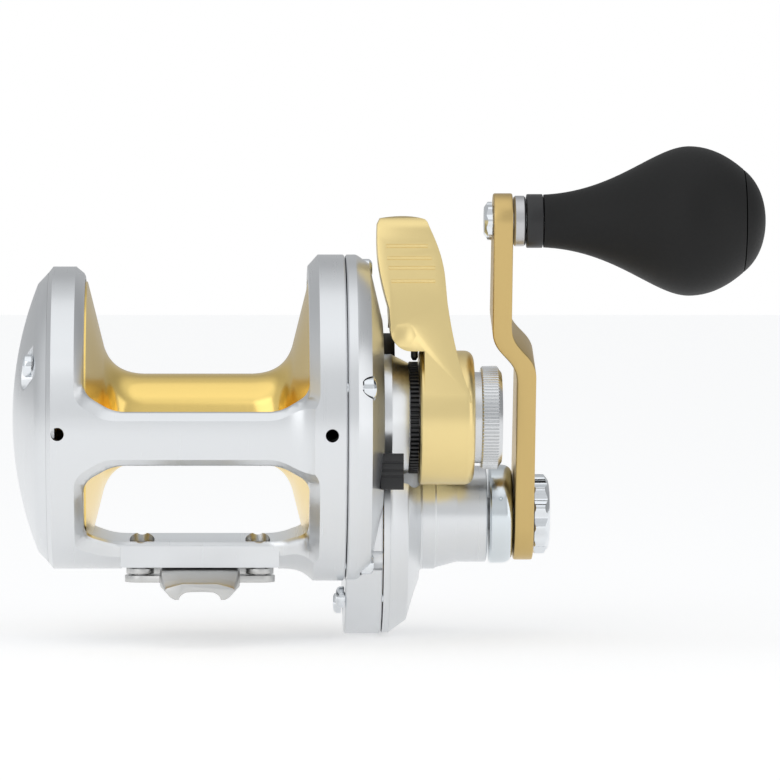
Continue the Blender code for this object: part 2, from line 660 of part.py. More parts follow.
def clicker_bar(x_low, x_high, half_width, start, end):
    """A bar with square ends that runs along the clicker's radius."""
    outline = [(start, -half_width), (end, -half_width), (end, half_width), (start, half_width)]
    return prism(along_clicker(outline), x_low, x_high, "X")


def along_clicker(outline):
    """Turns points of (distance along the clicker's radius, distance beside it) into (y, z)."""
    y, z = polar(1.0, CLICKER_ANGLE)
    return [(along * y - side * z, along * z + side * y) for along, side in outline]


def make_left_cover(spool_axis):
    rim = DOME_FOOT
    dome = [(dome_x(rim * t / 5), rim * t / 5) for t in range(5)]
    edge = curve(
        (dome_x(rim), rim), (dome_x(rim + 0.6 * MM), rim + 0.8 * MM),
        (COVER_RIM - 1.2 * MM, BAR_RADIUS), (COVER_RIM - 0.4 * MM, BAR_RADIUS), 3,
    )
    floor = dome_x(COVER_POCKET_RADIUS) + COVER_WALL
    bush = BUSH_RADIUS + CLEARANCE
    inside = [
        (COVER_RIM, BAR_RADIUS), (COVER_RIM, COVER_POCKET_RADIUS), (floor, COVER_POCKET_RADIUS),
        (floor, BOSS_WALL), (BOSS_END, BOSS_WALL), (BOSS_END, bush), (SHAFT_POCKET, bush), (SHAFT_POCKET, 0),
    ]
    cover = add("left_cover", turned(dome + edge + inside, ROUND), "silver", spool_axis)
    radius, floor_height = CLICKER_POCKET
    pocket_floor = COVER_RIM - floor_height
    inner, outer = CLICKER_OFF_RADIUS - CLICKER_TRAVEL, CLICKER_OFF_RADIUS + 5 * MM
    cut(cover, clicker_slot(COVER_TOP - 2 * MM, pocket_floor, radius, inner, outer))
    stem = STEM_HALF + CLEARANCE
    cut(cover, clicker_bar(
        pocket_floor - 1 * MM, COVER_RIM + 1 * MM, stem, inner - stem, CLICKER_OFF_RADIUS + stem,
    ))
    groove = TONGUE_HALF + CLEARANCE
    cut(cover, clicker_bar(
        COVER_RIM - TONGUE_DEPTH - CLEARANCE, COVER_RIM + 1 * MM, groove, COVER_POCKET_RADIUS - 2 * MM,
        CLICKER_OFF_RADIUS + stem + 2 * CLEARANCE,
    ))
    holes = []
    for y, z in left_screw_places():
        hole = rod(COVER_RIM - 3.4 * MM, COVER_RIM + 1 * MM, LEFT_SCREW[0] + CLEARANCE, 12)
        holes.append(moved(hole, y=y, z=z))
    cut(cover, group(holes))
    web = FRAME_LEFT + WEB_THICKNESS + CLEARANCE
    shank, head, height = LEFT_SCREW
    for number, (y, z) in enumerate(left_screw_places(), 1):
        profile = [
            (COVER_RIM - 3.0 * MM, 0), (COVER_RIM - 3.0 * MM, shank), (web, shank), (web, head),
            (web + height, head), (web + height, 0),
        ]
        add(f"left_cover_screw_{number}", moved(turned(profile, 12), y=y, z=z), "steel", spool_axis)
    add("shaft_bush", tube(SHAFT_POCKET + CLEARANCE, BOSS_END, BUSH_RADIUS, SHAFT_BORE), "brass", spool_axis)


def make_clicker(clicker_axis):
    """The button outside and the tongue inside, measured along the radius from the button."""
    radius, height = CLICKER_BUTTON
    floor = COVER_RIM - CLICKER_POCKET[1] - CLEARANCE
    profile = [
        (floor - height, 0), (floor - height, radius - 0.5 * MM), (floor - height + 0.5 * MM, radius),
        (floor, radius), (floor, 0),
    ]
    button = add("clicker_button", turned(profile, 20), "chrome", clicker_axis)
    grip = STEM_HALF + CLEARANCE
    cut(button, clicker_bar(floor - 1.2 * MM, floor + 1 * MM, grip, -grip, grip))
    tip = CLICK_GEAR[0] + CLEARANCE + CLICKER_TRAVEL - CLICKER_OFF_RADIUS
    low = COVER_RIM - TONGUE_DEPTH
    bar = clicker_bar(low, COVER_RIM - CLEARANCE, TONGUE_HALF, tip, grip)
    tongue = add("clicker_tongue", bar, "steel", clicker_axis)
    join(tongue, clicker_bar(floor - 0.9 * MM, low + 0.5 * MM, STEM_HALF, -STEM_HALF, STEM_HALF))
    tooth = CLICK_GEAR_LEFT + CLICK_GEAR[1] - 0.4 * MM
    join(tongue, clicker_bar(low + 0.4 * MM, tooth, 0.9 * MM, tip, tip + 3.4 * MM))


# ---------------------------------------------------------------- spool and shaft

def flange_x(radius):
    """Distance of a flange's inner face from its rim's inner edge, towards the arbor."""
    return (SPOOL_RADIUS - radius) * FLANGE_SLOPE


def make_spool(spool_axis):
    foot = FLANGE_FOOT_RADIUS
    lean = flange_x(foot)

    def blend(edge, side):
        """The curve from a flange to the arbor; side is 1 where the spool lies to the edge's right."""
        start = edge + side * lean
        return curve(
            (start, foot), (start + side * 1.2 * MM, foot - 3.6 * MM),
            (start + side * 3.6 * MM, ARBOR_RADIUS + 0.2 * MM), (start + side * ARBOR_BLEND, ARBOR_RADIUS), 4,
        )

    hub = ARBOR_RADIUS - 0.2 * MM
    washer = WASHER_RADIUS + 3 * CLEARANCE
    inside = blend(RIM_LEFT, 1) + blend(RIM_RIGHT, -1)[::-1]
    profile = [
        (RIM_LEFT, SPOOL_RADIUS), *inside, (RIM_RIGHT, SPOOL_RADIUS),
        (SPOOL_RIGHT, SPOOL_RADIUS), (SPOOL_RIGHT, washer), (WASHER_SEAT, washer),
        (WASHER_SEAT, BEARING_SEAT), (CLICK_GEAR_LEFT, BEARING_SEAT), (CLICK_GEAR_LEFT, NOSE_RADIUS),
        (SPOOL_HUB_LEFT, NOSE_RADIUS), (SPOOL_HUB_LEFT, hub), (RIM_LEFT + 3.2 * MM, hub + 1.5 * MM),
        (RIM_LEFT + lean - FLANGE_WALL - 0.6 * MM, foot), (RIM_LEFT - RIM_THICKNESS, SPOOL_RADIUS - 3.5 * MM),
        (RIM_LEFT - RIM_THICKNESS, SPOOL_RADIUS),
    ]
    add("spool", turned(profile, ROUND), "gold", spool_axis)
    width = SPOOL_BEARING[1]
    for name, place in (("left", CLICK_GEAR_LEFT + 1.4 * MM), ("right", WASHER_SEAT - width - 3.2 * MM)):
        bearing = tube(place, place + width, SPOOL_BEARING[0], SHAFT_BORE)
        add(f"spool_bearing_{name}", bearing, "steel", spool_axis)
    radius, width, teeth = CLICK_GEAR
    wheel = toothed(teeth, radius - 1.8 * MM, radius, 0.75, 0.3)
    gear = add("click_gear", prism(wheel, CLICK_GEAR_LEFT, CLICK_GEAR_LEFT + width, "X"), "brass", spool_axis)
    cut(gear, rod(CLICK_GEAR_LEFT - 1 * MM, SPOOL_HUB_LEFT + 1 * MM, NOSE_RADIUS + CLEARANCE))
    washer = tube(WASHER_LEFT, WASHER_LEFT + DRAG_WASHER[2], WASHER_RADIUS, DRAG_WASHER[0], MEDIUM_ROUND)
    add("drag_washer", washer, "carbon", spool_axis)


def make_shaft(spool_axis):
    start = SHAFT_POCKET + 1.2 * MM
    end = PRESET_RIGHT - 2.5 * MM
    bevel = 0.4 * MM
    profile = [
        (start, 0), (start, SHAFT_RADIUS - bevel), (start + bevel, SHAFT_RADIUS),
        (end - bevel, SHAFT_RADIUS), (end, SHAFT_RADIUS - bevel), (end, 0),
    ]
    add("spool_shaft", turned(profile), "steel", spool_axis)
    follower = tube(FOLLOWER_LEFT, FOLLOWER_RIGHT, 9.0 * MM, SHAFT_BORE)
    add("cam_follower", follower, "steel", spool_axis)
    spring_left = WASHER_SEAT - 2.9 * MM
    washers = [
        (spring_left, 6.4 * MM), (spring_left + 2.4 * MM, 6.8 * MM),
        (spring_left + 2.4 * MM, SHAFT_BORE + 0.2 * MM), (spring_left, SHAFT_BORE + 0.2 * MM),
    ]
    add("return_spring", turned(washers), "steel", spool_axis)


# ---------------------------------------------------------------- side plate and gears

def plate_face(radius, offset=0.0):
    """x of the side plate's outer surface at a radius."""
    if radius <= CONE_INNER:
        return PLATE_RIGHT + offset
    return PLATE_RIGHT - CONE_HEIGHT * (radius - CONE_INNER) / (CONE_OUTER - CONE_INNER) + offset


def make_side_plate(spool_axis, drive_axis):
    spigot = FRAME_BORE - CLEARANCE
    skirt = spigot - 2.6 * MM
    back = PLATE_LEFT + 1.0 * MM
    seat_left = PLATE_LEFT - 0.5 * MM
    lip = seat_left - 1.2 * MM
    profile = [
        (PLATE_LEFT, RING_RADIUS), (PLATE_LEFT + PLATE_RIM_WIDTH, RING_RADIUS),
        (plate_face(CONE_OUTER), CONE_OUTER), (PLATE_RIGHT, CONE_INNER), (PLATE_RIGHT, PINION_SEAT),
        (seat_left, PINION_SEAT), (seat_left, PINION_SEAT - 2 * MM), (lip, PINION_SEAT - 2 * MM),
        (lip, PINION_SEAT + 2.7 * MM), (back, PINION_SEAT + 2.7 * MM), (back, skirt),
        (PLATE_LEFT - SPIGOT_DEPTH, skirt), (PLATE_LEFT - SPIGOT_DEPTH, spigot), (PLATE_LEFT, spigot),
    ]
    plate = add("side_plate", turned(profile, ROUND), "silver", spool_axis)
    step = 0.05 * MM
    join(plate, rod(PLATE_LEFT + step, PLATE_RIGHT + step, LOBE_RADIUS, ROUND), drive_axis)
    cut(plate, rod(CHAMBER_LEFT, PLATE_RIGHT + 1 * MM, CHAMBER_RADIUS, MEDIUM_ROUND), drive_axis)
    cut(plate, rod(seat_left, PLATE_RIGHT + 1 * MM, PINION_SEAT))
    radius, _, width = DRIVE_JOURNAL
    journal_end = CHAMBER_LEFT - width - 2 * CLEARANCE
    cut(plate, rod(journal_end, CHAMBER_LEFT + 1 * MM, radius + CLEARANCE), drive_axis)
    shank, head = PLATE_SCREW[0] + CLEARANCE, PLATE_SCREW[1] + CLEARANCE
    seat = plate_face(PLATE_SCREW_CIRCLE) - PLATE_SCREW_SINK
    start, end = PLATE_LEFT - 4 * MM, PLATE_RIGHT + 1 * MM
    drills = []
    for angle in PLATE_SCREW_ANGLES:
        y, z = polar(PLATE_SCREW_CIRCLE, angle)
        ledge = seat - CLEARANCE
        hole = [(start, 0), (start, shank), (ledge, shank), (ledge, head), (end, head), (end, 0)]
        drills.append(moved(turned(hole, 12), y=y, z=z))
    cut(plate, group(drills))
    drills = []
    for y, z in cover_screw_places():
        hole = rod(PLATE_LEFT - 1 * MM, PLATE_RIGHT + 1 * MM, COVER_SCREW[0] + CLEARANCE, 12)
        drills.append(moved(hole, y=y, z=z))
    cut(plate, group(drills), drive_axis)
    outer, low_angle, high_angle, _ = STRIKE_BLOCK
    pocket = ring_sector(BOSS[0] + CLEARANCE, outer + CLEARANCE, low_angle - 0.8, high_angle + 0.8)
    pocket_floor = PLATE_RIGHT - STRIKE_DEPTH - STRIKE_TRAVEL - CLEARANCE
    cut(plate, prism(pocket, pocket_floor, PLATE_RIGHT + 1 * MM, "X"))
    for number, angle in enumerate(PLATE_SCREW_ANGLES, 1):
        y, z = polar(PLATE_SCREW_CIRCLE, angle)
        screw = turned(socket_screw(seat, FRAME_RIGHT - 6.0 * MM, PLATE_SCREW, 1), 12)
        add(f"side_plate_screw_{number}", moved(screw, y=y, z=z), "chrome", spool_axis)


def socket_screw(seat, end, sizes, side):
    """Profile of a socket-head screw whose head stands out on the given side of its seat."""
    shank, head, height = sizes
    top = seat + side * height
    socket = 0.45 * head
    socket_floor = top - side * 0.55 * height
    return [
        (socket_floor, 0), (socket_floor, socket), (top, socket), (top, head - 0.3 * MM),
        (top - side * 0.3 * MM, head), (seat, head), (seat, shank), (end, shank), (end, 0),
    ]


def cover_screw_places():
    """(y, z) of the lobe's screws from the drive axis."""
    return [polar(COVER_SCREW_RADIUS, angle) for angle in COVER_SCREW_ANGLES]


def make_gear_cover(spool_axis, drive_axis):
    left = GEAR_COVER_LEFT
    top = left + LOBE_COVER_HEIGHT
    foot, end = TUBE
    dome = curve(
        (left + 1.6 * MM, LOBE_RADIUS), (left + 6.5 * MM, LOBE_RADIUS - 1.5 * MM),
        (top - 0.5 * MM, LOBE_RADIUS - 6.5 * MM), (top, foot + 2.5 * MM), 6,
    )
    profile = [
        (left - 2 * MM, 0), (left - 2 * MM, LOBE_RADIUS), *dome, (top, foot), (top + 3.8 * MM, foot),
        (top + 9.5 * MM, end), (TUBE_RIGHT - 0.4 * MM, end), (TUBE_RIGHT, end - 0.4 * MM), (TUBE_RIGHT, 0),
    ]
    cover = add("gear_cover", turned(profile, ROUND), "silver", drive_axis)
    cut(cover, rod(left + LOBE_STEP, HUB_RIGHT + 1 * MM, HUB_RADIUS + 0.8 * MM, MEDIUM_ROUND), spool_axis)
    boss, cone, spigot = BOSS
    profile = [
        (left - 1.7 * MM, 0), (left - 1.7 * MM, boss), (left + BOSS_CYLINDER, boss), (BOSS_RIGHT, cone),
        (BOSS_RIGHT, spigot), (RING_RIGHT, spigot), (RING_RIGHT, 0),
    ]
    join(cover, turned(profile, MEDIUM_ROUND), spool_axis)
    cut(cover, box((left - 3 * MM, -60 * MM, -90 * MM), (left, 60 * MM, 30 * MM)), spool_axis)
    seat_end = CHAMBER_RIGHT + PINION_BEARING[1] + 2 * CLEARANCE
    bore = SHAFT_BORE + 0.2 * MM
    start, end = left - 1 * MM, RING_RIGHT + 1 * MM
    wide = PINION_SEAT
    hole = [(start, 0), (start, wide), (seat_end, wide), (seat_end, bore), (end, bore), (end, 0)]
    cut(cover, turned(hole, MEDIUM_ROUND), spool_axis)
    bore = DRIVE_SHAFT_RADIUS + 2.8 * MM
    end = TUBE_RIGHT + 1 * MM
    hole = [
        (start, 0), (start, CHAMBER_RADIUS), (CHAMBER_RIGHT, CHAMBER_RADIUS), (CHAMBER_RIGHT, bore),
        (TUBE_SEAT, bore), (TUBE_SEAT, PINION_SEAT), (end, PINION_SEAT), (end, 0),
    ]
    cut(cover, turned(hole, MEDIUM_ROUND), drive_axis)
    radius, depth = PAWL_CHAMBER
    pawl_room = cut(cover, rod(CHAMBER_RIGHT - 0.5 * MM, depth, radius, MEDIUM_ROUND), drive_axis)
    wall = rod(CHAMBER_RIGHT - 2 * MM, depth + 1 * MM, HUB_RADIUS + PAWL_WALL, MEDIUM_ROUND)
    cut(pawl_room, wall, spool_axis)
    drills = []
    for y, z in cover_screw_places():
        drills.append(moved(rod(left - 1 * MM, left + 3.0 * MM, COVER_SCREW[0] + CLEARANCE, 12), y=y, z=z))
    cut(cover, group(drills), drive_axis)
    seat = PLATE_LEFT - CLEARANCE
    for number, (y, z) in enumerate(cover_screw_places(), 1):
        screw = turned(socket_screw(seat, left + 2.7 * MM, COVER_SCREW, -1), 12)
        add(f"gear_cover_screw_{number}", moved(screw, y=y, z=z), "chrome", drive_axis)
    radius, width, teeth = DETENT_RING
    ring = toothed(teeth, radius - 0.5 * MM, radius, 0.6, 0.4)
    ring = add("detent_ring", prism(ring, RING_LEFT, RING_RIGHT, "X"), "black", spool_axis)
    cut(ring, rod(RING_LEFT - 1 * MM, RING_RIGHT + 1 * MM, spigot + CLEARANCE, MEDIUM_ROUND))


def make_gears(spool_axis, drive_axis, toward_drive):
    """toward_drive is the angle, from straight up, of the drive axis seen from the spool's."""
    half_tooth = 180.0 / PINION_TEETH
    pinion_left = DRAG_PLATE_LEFT + 0.2 * MM
    bearing_left = PLATE_LEFT - 0.2 * MM
    bearing_right = CHAMBER_RIGHT + CLEARANCE
    sleeve = tube(pinion_left, bearing_right + PINION_BEARING[1], PINION_SLEEVE, SHAFT_BORE)
    pinion = add("pinion_gear", sleeve, "steel", spool_axis)
    teeth = prism(gear_teeth(PINION_TEETH, toward_drive + half_tooth), GEAR_LEFT - 0.2 * MM, GEAR_RIGHT, "X")
    join(pinion, teeth)
    cut(pinion, rod(GEAR_LEFT - 1 * MM, GEAR_RIGHT + 1 * MM, SHAFT_BORE))
    plate = tube(DRAG_PLATE_LEFT, DRAG_PLATE_RIGHT, WASHER_RADIUS + 0.2 * MM, SLEEVE_BORE, MEDIUM_ROUND)
    add("drag_plate", plate, "steel", spool_axis)
    for name, place in (("left", bearing_left), ("right", bearing_right)):
        bearing = tube(place, place + PINION_BEARING[1], PINION_BEARING[0], SLEEVE_BORE)
        add(f"pinion_bearing_{name}", bearing, "steel", spool_axis)
    wheel = prism(gear_teeth(DRIVE_TEETH, toward_drive + 180.0), GEAR_LEFT, GEAR_RIGHT, "X")
    wheel = add("drive_gear", wheel, "brass", drive_axis)
    bore = DRIVE_SHAFT_RADIUS + CLEARANCE
    cut(wheel, rod(GEAR_LEFT - 1 * MM, GEAR_RIGHT + 1 * MM, bore))
    radius = RATCHET_RADIUS
    width, teeth = RATCHET
    ratchet_left = CHAMBER_RIGHT + CLEARANCE
    saw = []
    for tooth in range(teeth):
        angle = tooth * 360.0 / teeth
        middle = angle + 180.0 / teeth
        saw += [polar(radius, angle), polar(radius - 2 * MM, angle + 3), polar(radius - 1 * MM, middle)]
    ratchet = add("ratchet", prism(saw, ratchet_left, ratchet_left + width, "X"), "steel", drive_axis)
    cut(ratchet, rod(ratchet_left - 1 * MM, ratchet_left + width + 1 * MM, bore))
    outer, journal, length = DRIVE_JOURNAL
    bearing = tube(CHAMBER_LEFT - length - CLEARANCE, CHAMBER_LEFT - CLEARANCE, outer, journal + CLEARANCE)
    add("drive_bearing_left", bearing, "steel", drive_axis)
    bearing = tube(TUBE_SEAT + CLEARANCE, TUBE_SEAT + CLEARANCE + PINION_BEARING[1], PINION_BEARING[0], bore)
    add("drive_bearing_right", bearing, "steel", drive_axis)


def make_dog(dog_axis, drive_axis, dog_place):
    """The anti-reverse dog turns on its pin, its tip resting on the ratchet's teeth."""
    width = RATCHET[0]
    left = CHAMBER_RIGHT + CLEARANCE
    tip = polar(RATCHET_RADIUS + CLEARANCE, DOG_ANGLE + DOG_SPREAD)
    y, z = tip[0] - dog_place[0], tip[1] - dog_place[1]
    length = hypot(y, z)
    along = (y / length, z / length)
    across = (-along[1], along[0])
    if across[0] * dog_place[0] + across[1] * dog_place[1] < 0:
        across = (-across[0], -across[1])

    def at(forward, side):
        return (forward * along[0] + side * across[0], forward * along[1] + side * across[1])

    outline = [at(0, -DOG_BOSS), at(length, 0), at(length, 1.6 * MM), at(0, DOG_BOSS)]
    outline += [at(-DOG_BOSS * 0.87, DOG_BOSS * 0.5), at(-DOG_BOSS * 0.87, -DOG_BOSS * 0.5)]
    dog = add("anti_reverse_dog", prism(outline, left, left + width, "X"), "steel", dog_axis)
    cut(dog, rod(left - 1 * MM, left + width + 1 * MM, DOG_PIN + CLEARANCE, 16))
    pin = rod(left - 0.1 * MM, PAWL_CHAMBER[1] - CLEARANCE, DOG_PIN, 16)
    add("dog_pin", moved(pin, y=dog_place[0], z=dog_place[1]), "steel", drive_axis)


# ---------------------------------------------------------------- drag lever and its stops

def make_lever(spool_axis):
    edge = HUB_ROUNDING
    corner = [
        (HUB_RIGHT - edge + edge * sin(radians(a)), HUB_RADIUS - edge + edge * cos(radians(a)))
        for a in (0, 22.5, 45, 67.5, 90)
    ]
    profile = [
        (HUB_LEFT, 0), (HUB_LEFT, HUB_RADIUS - 0.4 * MM), (HUB_LEFT + 0.4 * MM, HUB_RADIUS), *corner,
        (HUB_RIGHT, 0),
    ]
    lever = add("drag_lever", turned(profile, ROUND), "lever_gold", spool_axis)
    slope = asin((LEVER_ROOT - LEVER_TIP[0]) / LEVER_TOP)
    cap = arc((0, LEVER_TOP), LEVER_TIP[0], degrees(slope), 180 - degrees(slope), 8)
    side, foot = LEVER_ROOT * cos(slope), LEVER_ROOT * sin(slope)
    arm = join(lever, prism([(side, foot), *cap, (-side, foot)], HUB_LEFT - 14 * MM, HUB_RIGHT, "X"))
    tool(arm, prism(lever_outline(), -HUB_RADIUS - 1 * MM, HUB_RADIUS + 1 * MM, "Y"), "INTERSECT")
    stem, neck = PRESET[3] + 0.4 * MM, PRESET[2] + 0.4 * MM
    bore = [
        (HUB_LEFT - 1 * MM, 0), (HUB_LEFT - 1 * MM, HUB_BORE), (HUB_WALL[0], HUB_BORE), (HUB_WALL[0], stem),
        (HUB_WALL[1], stem), (HUB_WALL[1], neck), (HUB_RIGHT + 1 * MM, neck), (HUB_RIGHT + 1 * MM, 0),
    ]
    cut(lever, turned(bore, MEDIUM_ROUND))
    relief = [(0.0, 0.0)] + [polar(STRIKE_BLOCK[0] + 0.5 * MM, a) for a in range(0, 91, 10)]
    cut(lever, prism(relief, HUB_LEFT - 14 * MM, PLATE_RIGHT + STRIKE_BLOCK[3] + 0.5 * MM, "X"))
    radius = DETENT_PIN[0]
    place = (RING_LEFT + RING_RIGHT) / 2 + 0.3 * MM
    low = DETENT_RING[0] + CLEARANCE
    high = HUB_RADIUS + DETENT_PIN[1]
    hole = upright(rod(-high - CLEARANCE, -low - 1.0 * MM, radius + CLEARANCE, 16))
    cut(lever, moved(hole, x=place))
    pin = [(-high, 0), (-high, radius), (-low - 0.8 * MM, radius), (-low, 0.5 * radius), (-low, 0)]
    add("detent_plunger", moved(upright(turned(pin, 16)), x=place), "black", spool_axis)
    cam = tube(CAM_LEFT, CAM_RIGHT, HUB_BORE - CLEARANCE, SHAFT_BORE + CLEARANCE, MEDIUM_ROUND)
    add("lever_cam", cam, "steel", spool_axis)


def lever_outline():
    """(x, z) outline of the lever's arm: it leaves the hub and steps in over the side plate."""
    left, right = HUB_LEFT, HUB_RIGHT
    foot = HUB_RADIUS + 0.2 * MM
    bottom = 0.2 * HUB_RADIUS
    top = LEVER_TOP + LEVER_TIP[0]
    start = right - 0.9 * MM
    end = left + 1 * MM
    outer = curve(
        (start, bottom + 1.5 * MM), (right - 4.0 * MM, foot - 4 * MM),
        (right - 5.6 * MM, foot + 3 * MM), (right - 6.8 * MM, foot + 12 * MM), 6,
    )
    outer += curve(
        (right - 7.3 * MM, foot + 18 * MM), (right - 8 * MM, foot + 25 * MM),
        (right - 10.5 * MM, foot + 29 * MM), (right - 11.6 * MM, foot + 32 * MM), 4,
    )
    tip = curve(
        (right - 12.2 * MM, top - 0.9 * MM), (right - 15 * MM, top), (right - 19 * MM, top + 0.1 * MM),
        (right - 23.4 * MM, top - 0.7 * MM), 4,
    )
    inner = curve(
        (left - 10.5 * MM, top - 2.2 * MM), (left - 10.8 * MM, top - 9 * MM),
        (left - 10.4 * MM, top - 14 * MM), (left - 7.7 * MM, foot + 10.5 * MM), 5,
    )
    lobe = curve(
        (left - 7.4 * MM, foot + 6.5 * MM), (left - 7.8 * MM, foot + 3 * MM),
        (left - 5.4 * MM, foot - 0.2 * MM), (left - 2 * MM, foot), 5,
    )
    return [(start, bottom), *outer, *tip, *inner, *lobe, (end, foot), (end, bottom)]


def make_stops(spool_axis):
    outer, start, end, height = STRIKE_BLOCK
    low = PLATE_RIGHT - STRIKE_DEPTH
    block = ring_sector(BOSS[0] + 2 * CLEARANCE, outer, start, end)
    add("strike_button", prism(block, low, PLATE_RIGHT + height, "X"), "black", spool_axis)
    clear = CLEARANCE + 0.1 * MM
    edge = radians(90 - FREE_ANGLE) + asin((HUB_RADIUS - LEVER_TIP[0]) / LEVER_TOP)

    def lever_edge(y):
        """Height of the lever's lower edge at y with the lever at free."""
        return -(HUB_RADIUS + clear + y * sin(edge)) / cos(edge)

    near, length, depth, height = STOP
    far = near + length
    bottom = lever_edge(far) - depth
    outline = [(near, lever_edge(near)), (near, bottom), (far - 1 * MM, bottom), (far, lever_edge(far))]
    block = prism(outline, PLATE_RIGHT - 3 * MM, PLATE_RIGHT + height, "X")
    stop = add("free_stop", block, "black", spool_axis)
    start = PLATE_RIGHT - 8 * MM
    face = [
        (start, 0), (start, CONE_OUTER), (plate_face(CONE_OUTER, CLEARANCE), CONE_OUTER),
        (plate_face(CONE_INNER, CLEARANCE), CONE_INNER), (plate_face(0, CLEARANCE), 0),
    ]
    cut(stop, turned(face, ROUND))


def make_preset(spool_axis):
    radius, _, neck, stem = PRESET
    knurl = toothed(PRESET_TEETH, radius - 0.35 * MM, radius, 0.7, 0.4)
    knob = add("preset_knob", prism(knurl, PRESET_LEFT, PRESET_RIGHT - 0.7 * MM, "X"), "chrome", spool_axis)
    head_left, head_right = PRESET_LEFT + 0.2 * MM, PRESET_RIGHT - 0.7 * MM
    core = [
        (STEM_LEFT, 0), (STEM_LEFT, stem), (NECK_LEFT, stem), (NECK_LEFT, neck), (head_left, neck),
        (head_left, radius - 0.8 * MM), (head_right, radius - 0.8 * MM), (PRESET_RIGHT, radius - 1.6 * MM),
        (PRESET_RIGHT, 0),
    ]
    join(knob, turned(core, MEDIUM_ROUND))
    cut(knob, rod(STEM_LEFT - 1 * MM, PRESET_RIGHT - 2.2 * MM, SHAFT_BORE))


# ---------------------------------------------------------------- handle and knob

def arm_faces(inner, outer):
    """(x, z) side profile of the handle's arm, z along the arm from the drive axis."""
    low, high = ARM_BEND
    start, end = -ARM_RADII[0] - 1 * MM, ARM_LENGTH + ARM_RADII[1] + 1 * MM
    middle = (low + high) / 2

    def face(base, tip, shift):
        return [(base, start)] + curve(
            (base, low + shift), (base, middle + shift), (tip, middle + shift), (tip, high + shift), 6,
        ) + [(tip, end)]

    return face(inner, inner - ARM_JOG, 0.0) + face(outer, outer - ARM_JOG, 1.2 * MM)[::-1]


def make_handle(handle_axis):
    base, tip = ARM_RADII
    slope = degrees(asin((base - tip) / ARM_LENGTH))
    face = arc((0, 0), base, 180 - slope, 360 + slope, 12) + arc((0, ARM_LENGTH), tip, slope, 180 - slope, 10)
    blank = prism(face, TIP_LEFT - 1 * MM, ARM_RIGHT + 1 * MM, "X")
    arm = add("handle_arm", blank, "lever_gold", handle_axis)
    tool(arm, prism(arm_faces(ARM_LEFT, ARM_RIGHT), -base - 1 * MM, base + 1 * MM, "Y"), "INTERSECT")
    bore = DRIVE_SHAFT_RADIUS + CLEARANCE
    cut(arm, rod(ARM_LEFT - 1 * MM, ARM_RIGHT + 1 * MM, bore))
    cut(arm, moved(rod(TIP_LEFT - 1 * MM, TIP_RIGHT + 1 * MM, SPINDLE[0] + CLEARANCE, 16), z=ARM_LENGTH))
    radius, width = HANDLE_COLLAR
    left, right = COLLAR_LEFT, COLLAR_LEFT + width
    profile = [
        (left, radius - 0.5 * MM), (left + 0.5 * MM, radius), (left + 0.6 * width, radius),
        (left + 0.88 * width, radius - 0.9 * MM), (right, radius - 2.2 * MM), (right, bore), (left, bore),
    ]
    add("handle_collar", turned(profile, MEDIUM_ROUND), "chrome", handle_axis)
    _, journal, length = DRIVE_JOURNAL
    start, shoulder = CHAMBER_LEFT - length, CHAMBER_LEFT
    end = NUT_LEFT + NUT[1] - 1.5 * MM
    profile = [
        (start, 0), (start, journal), (shoulder, journal), (shoulder, DRIVE_SHAFT_RADIUS),
        (end, DRIVE_SHAFT_RADIUS), (end, 0),
    ]
    add("drive_shaft", turned(profile), "steel", handle_axis)
    radius, width = NUT
    star = toothed(12, radius - 0.9 * MM, radius, 0.65, 0.35)
    nut = add("handle_nut", prism(star, NUT_LEFT, NUT_LEFT + 0.7 * width, "X"), "chrome", handle_axis)
    inside = radius - 1.2 * MM
    cap = [
        (NUT_LEFT + 0.3 * MM, 0), (NUT_LEFT + 0.3 * MM, inside), (NUT_LEFT + 0.75 * width, inside),
        (NUT_LEFT + width, 0.75 * inside), (NUT_LEFT + width, 0),
    ]
    join(nut, turned(cap, MEDIUM_ROUND))
    cut(nut, rod(NUT_LEFT - 1 * MM, end + CLEARANCE, bore))


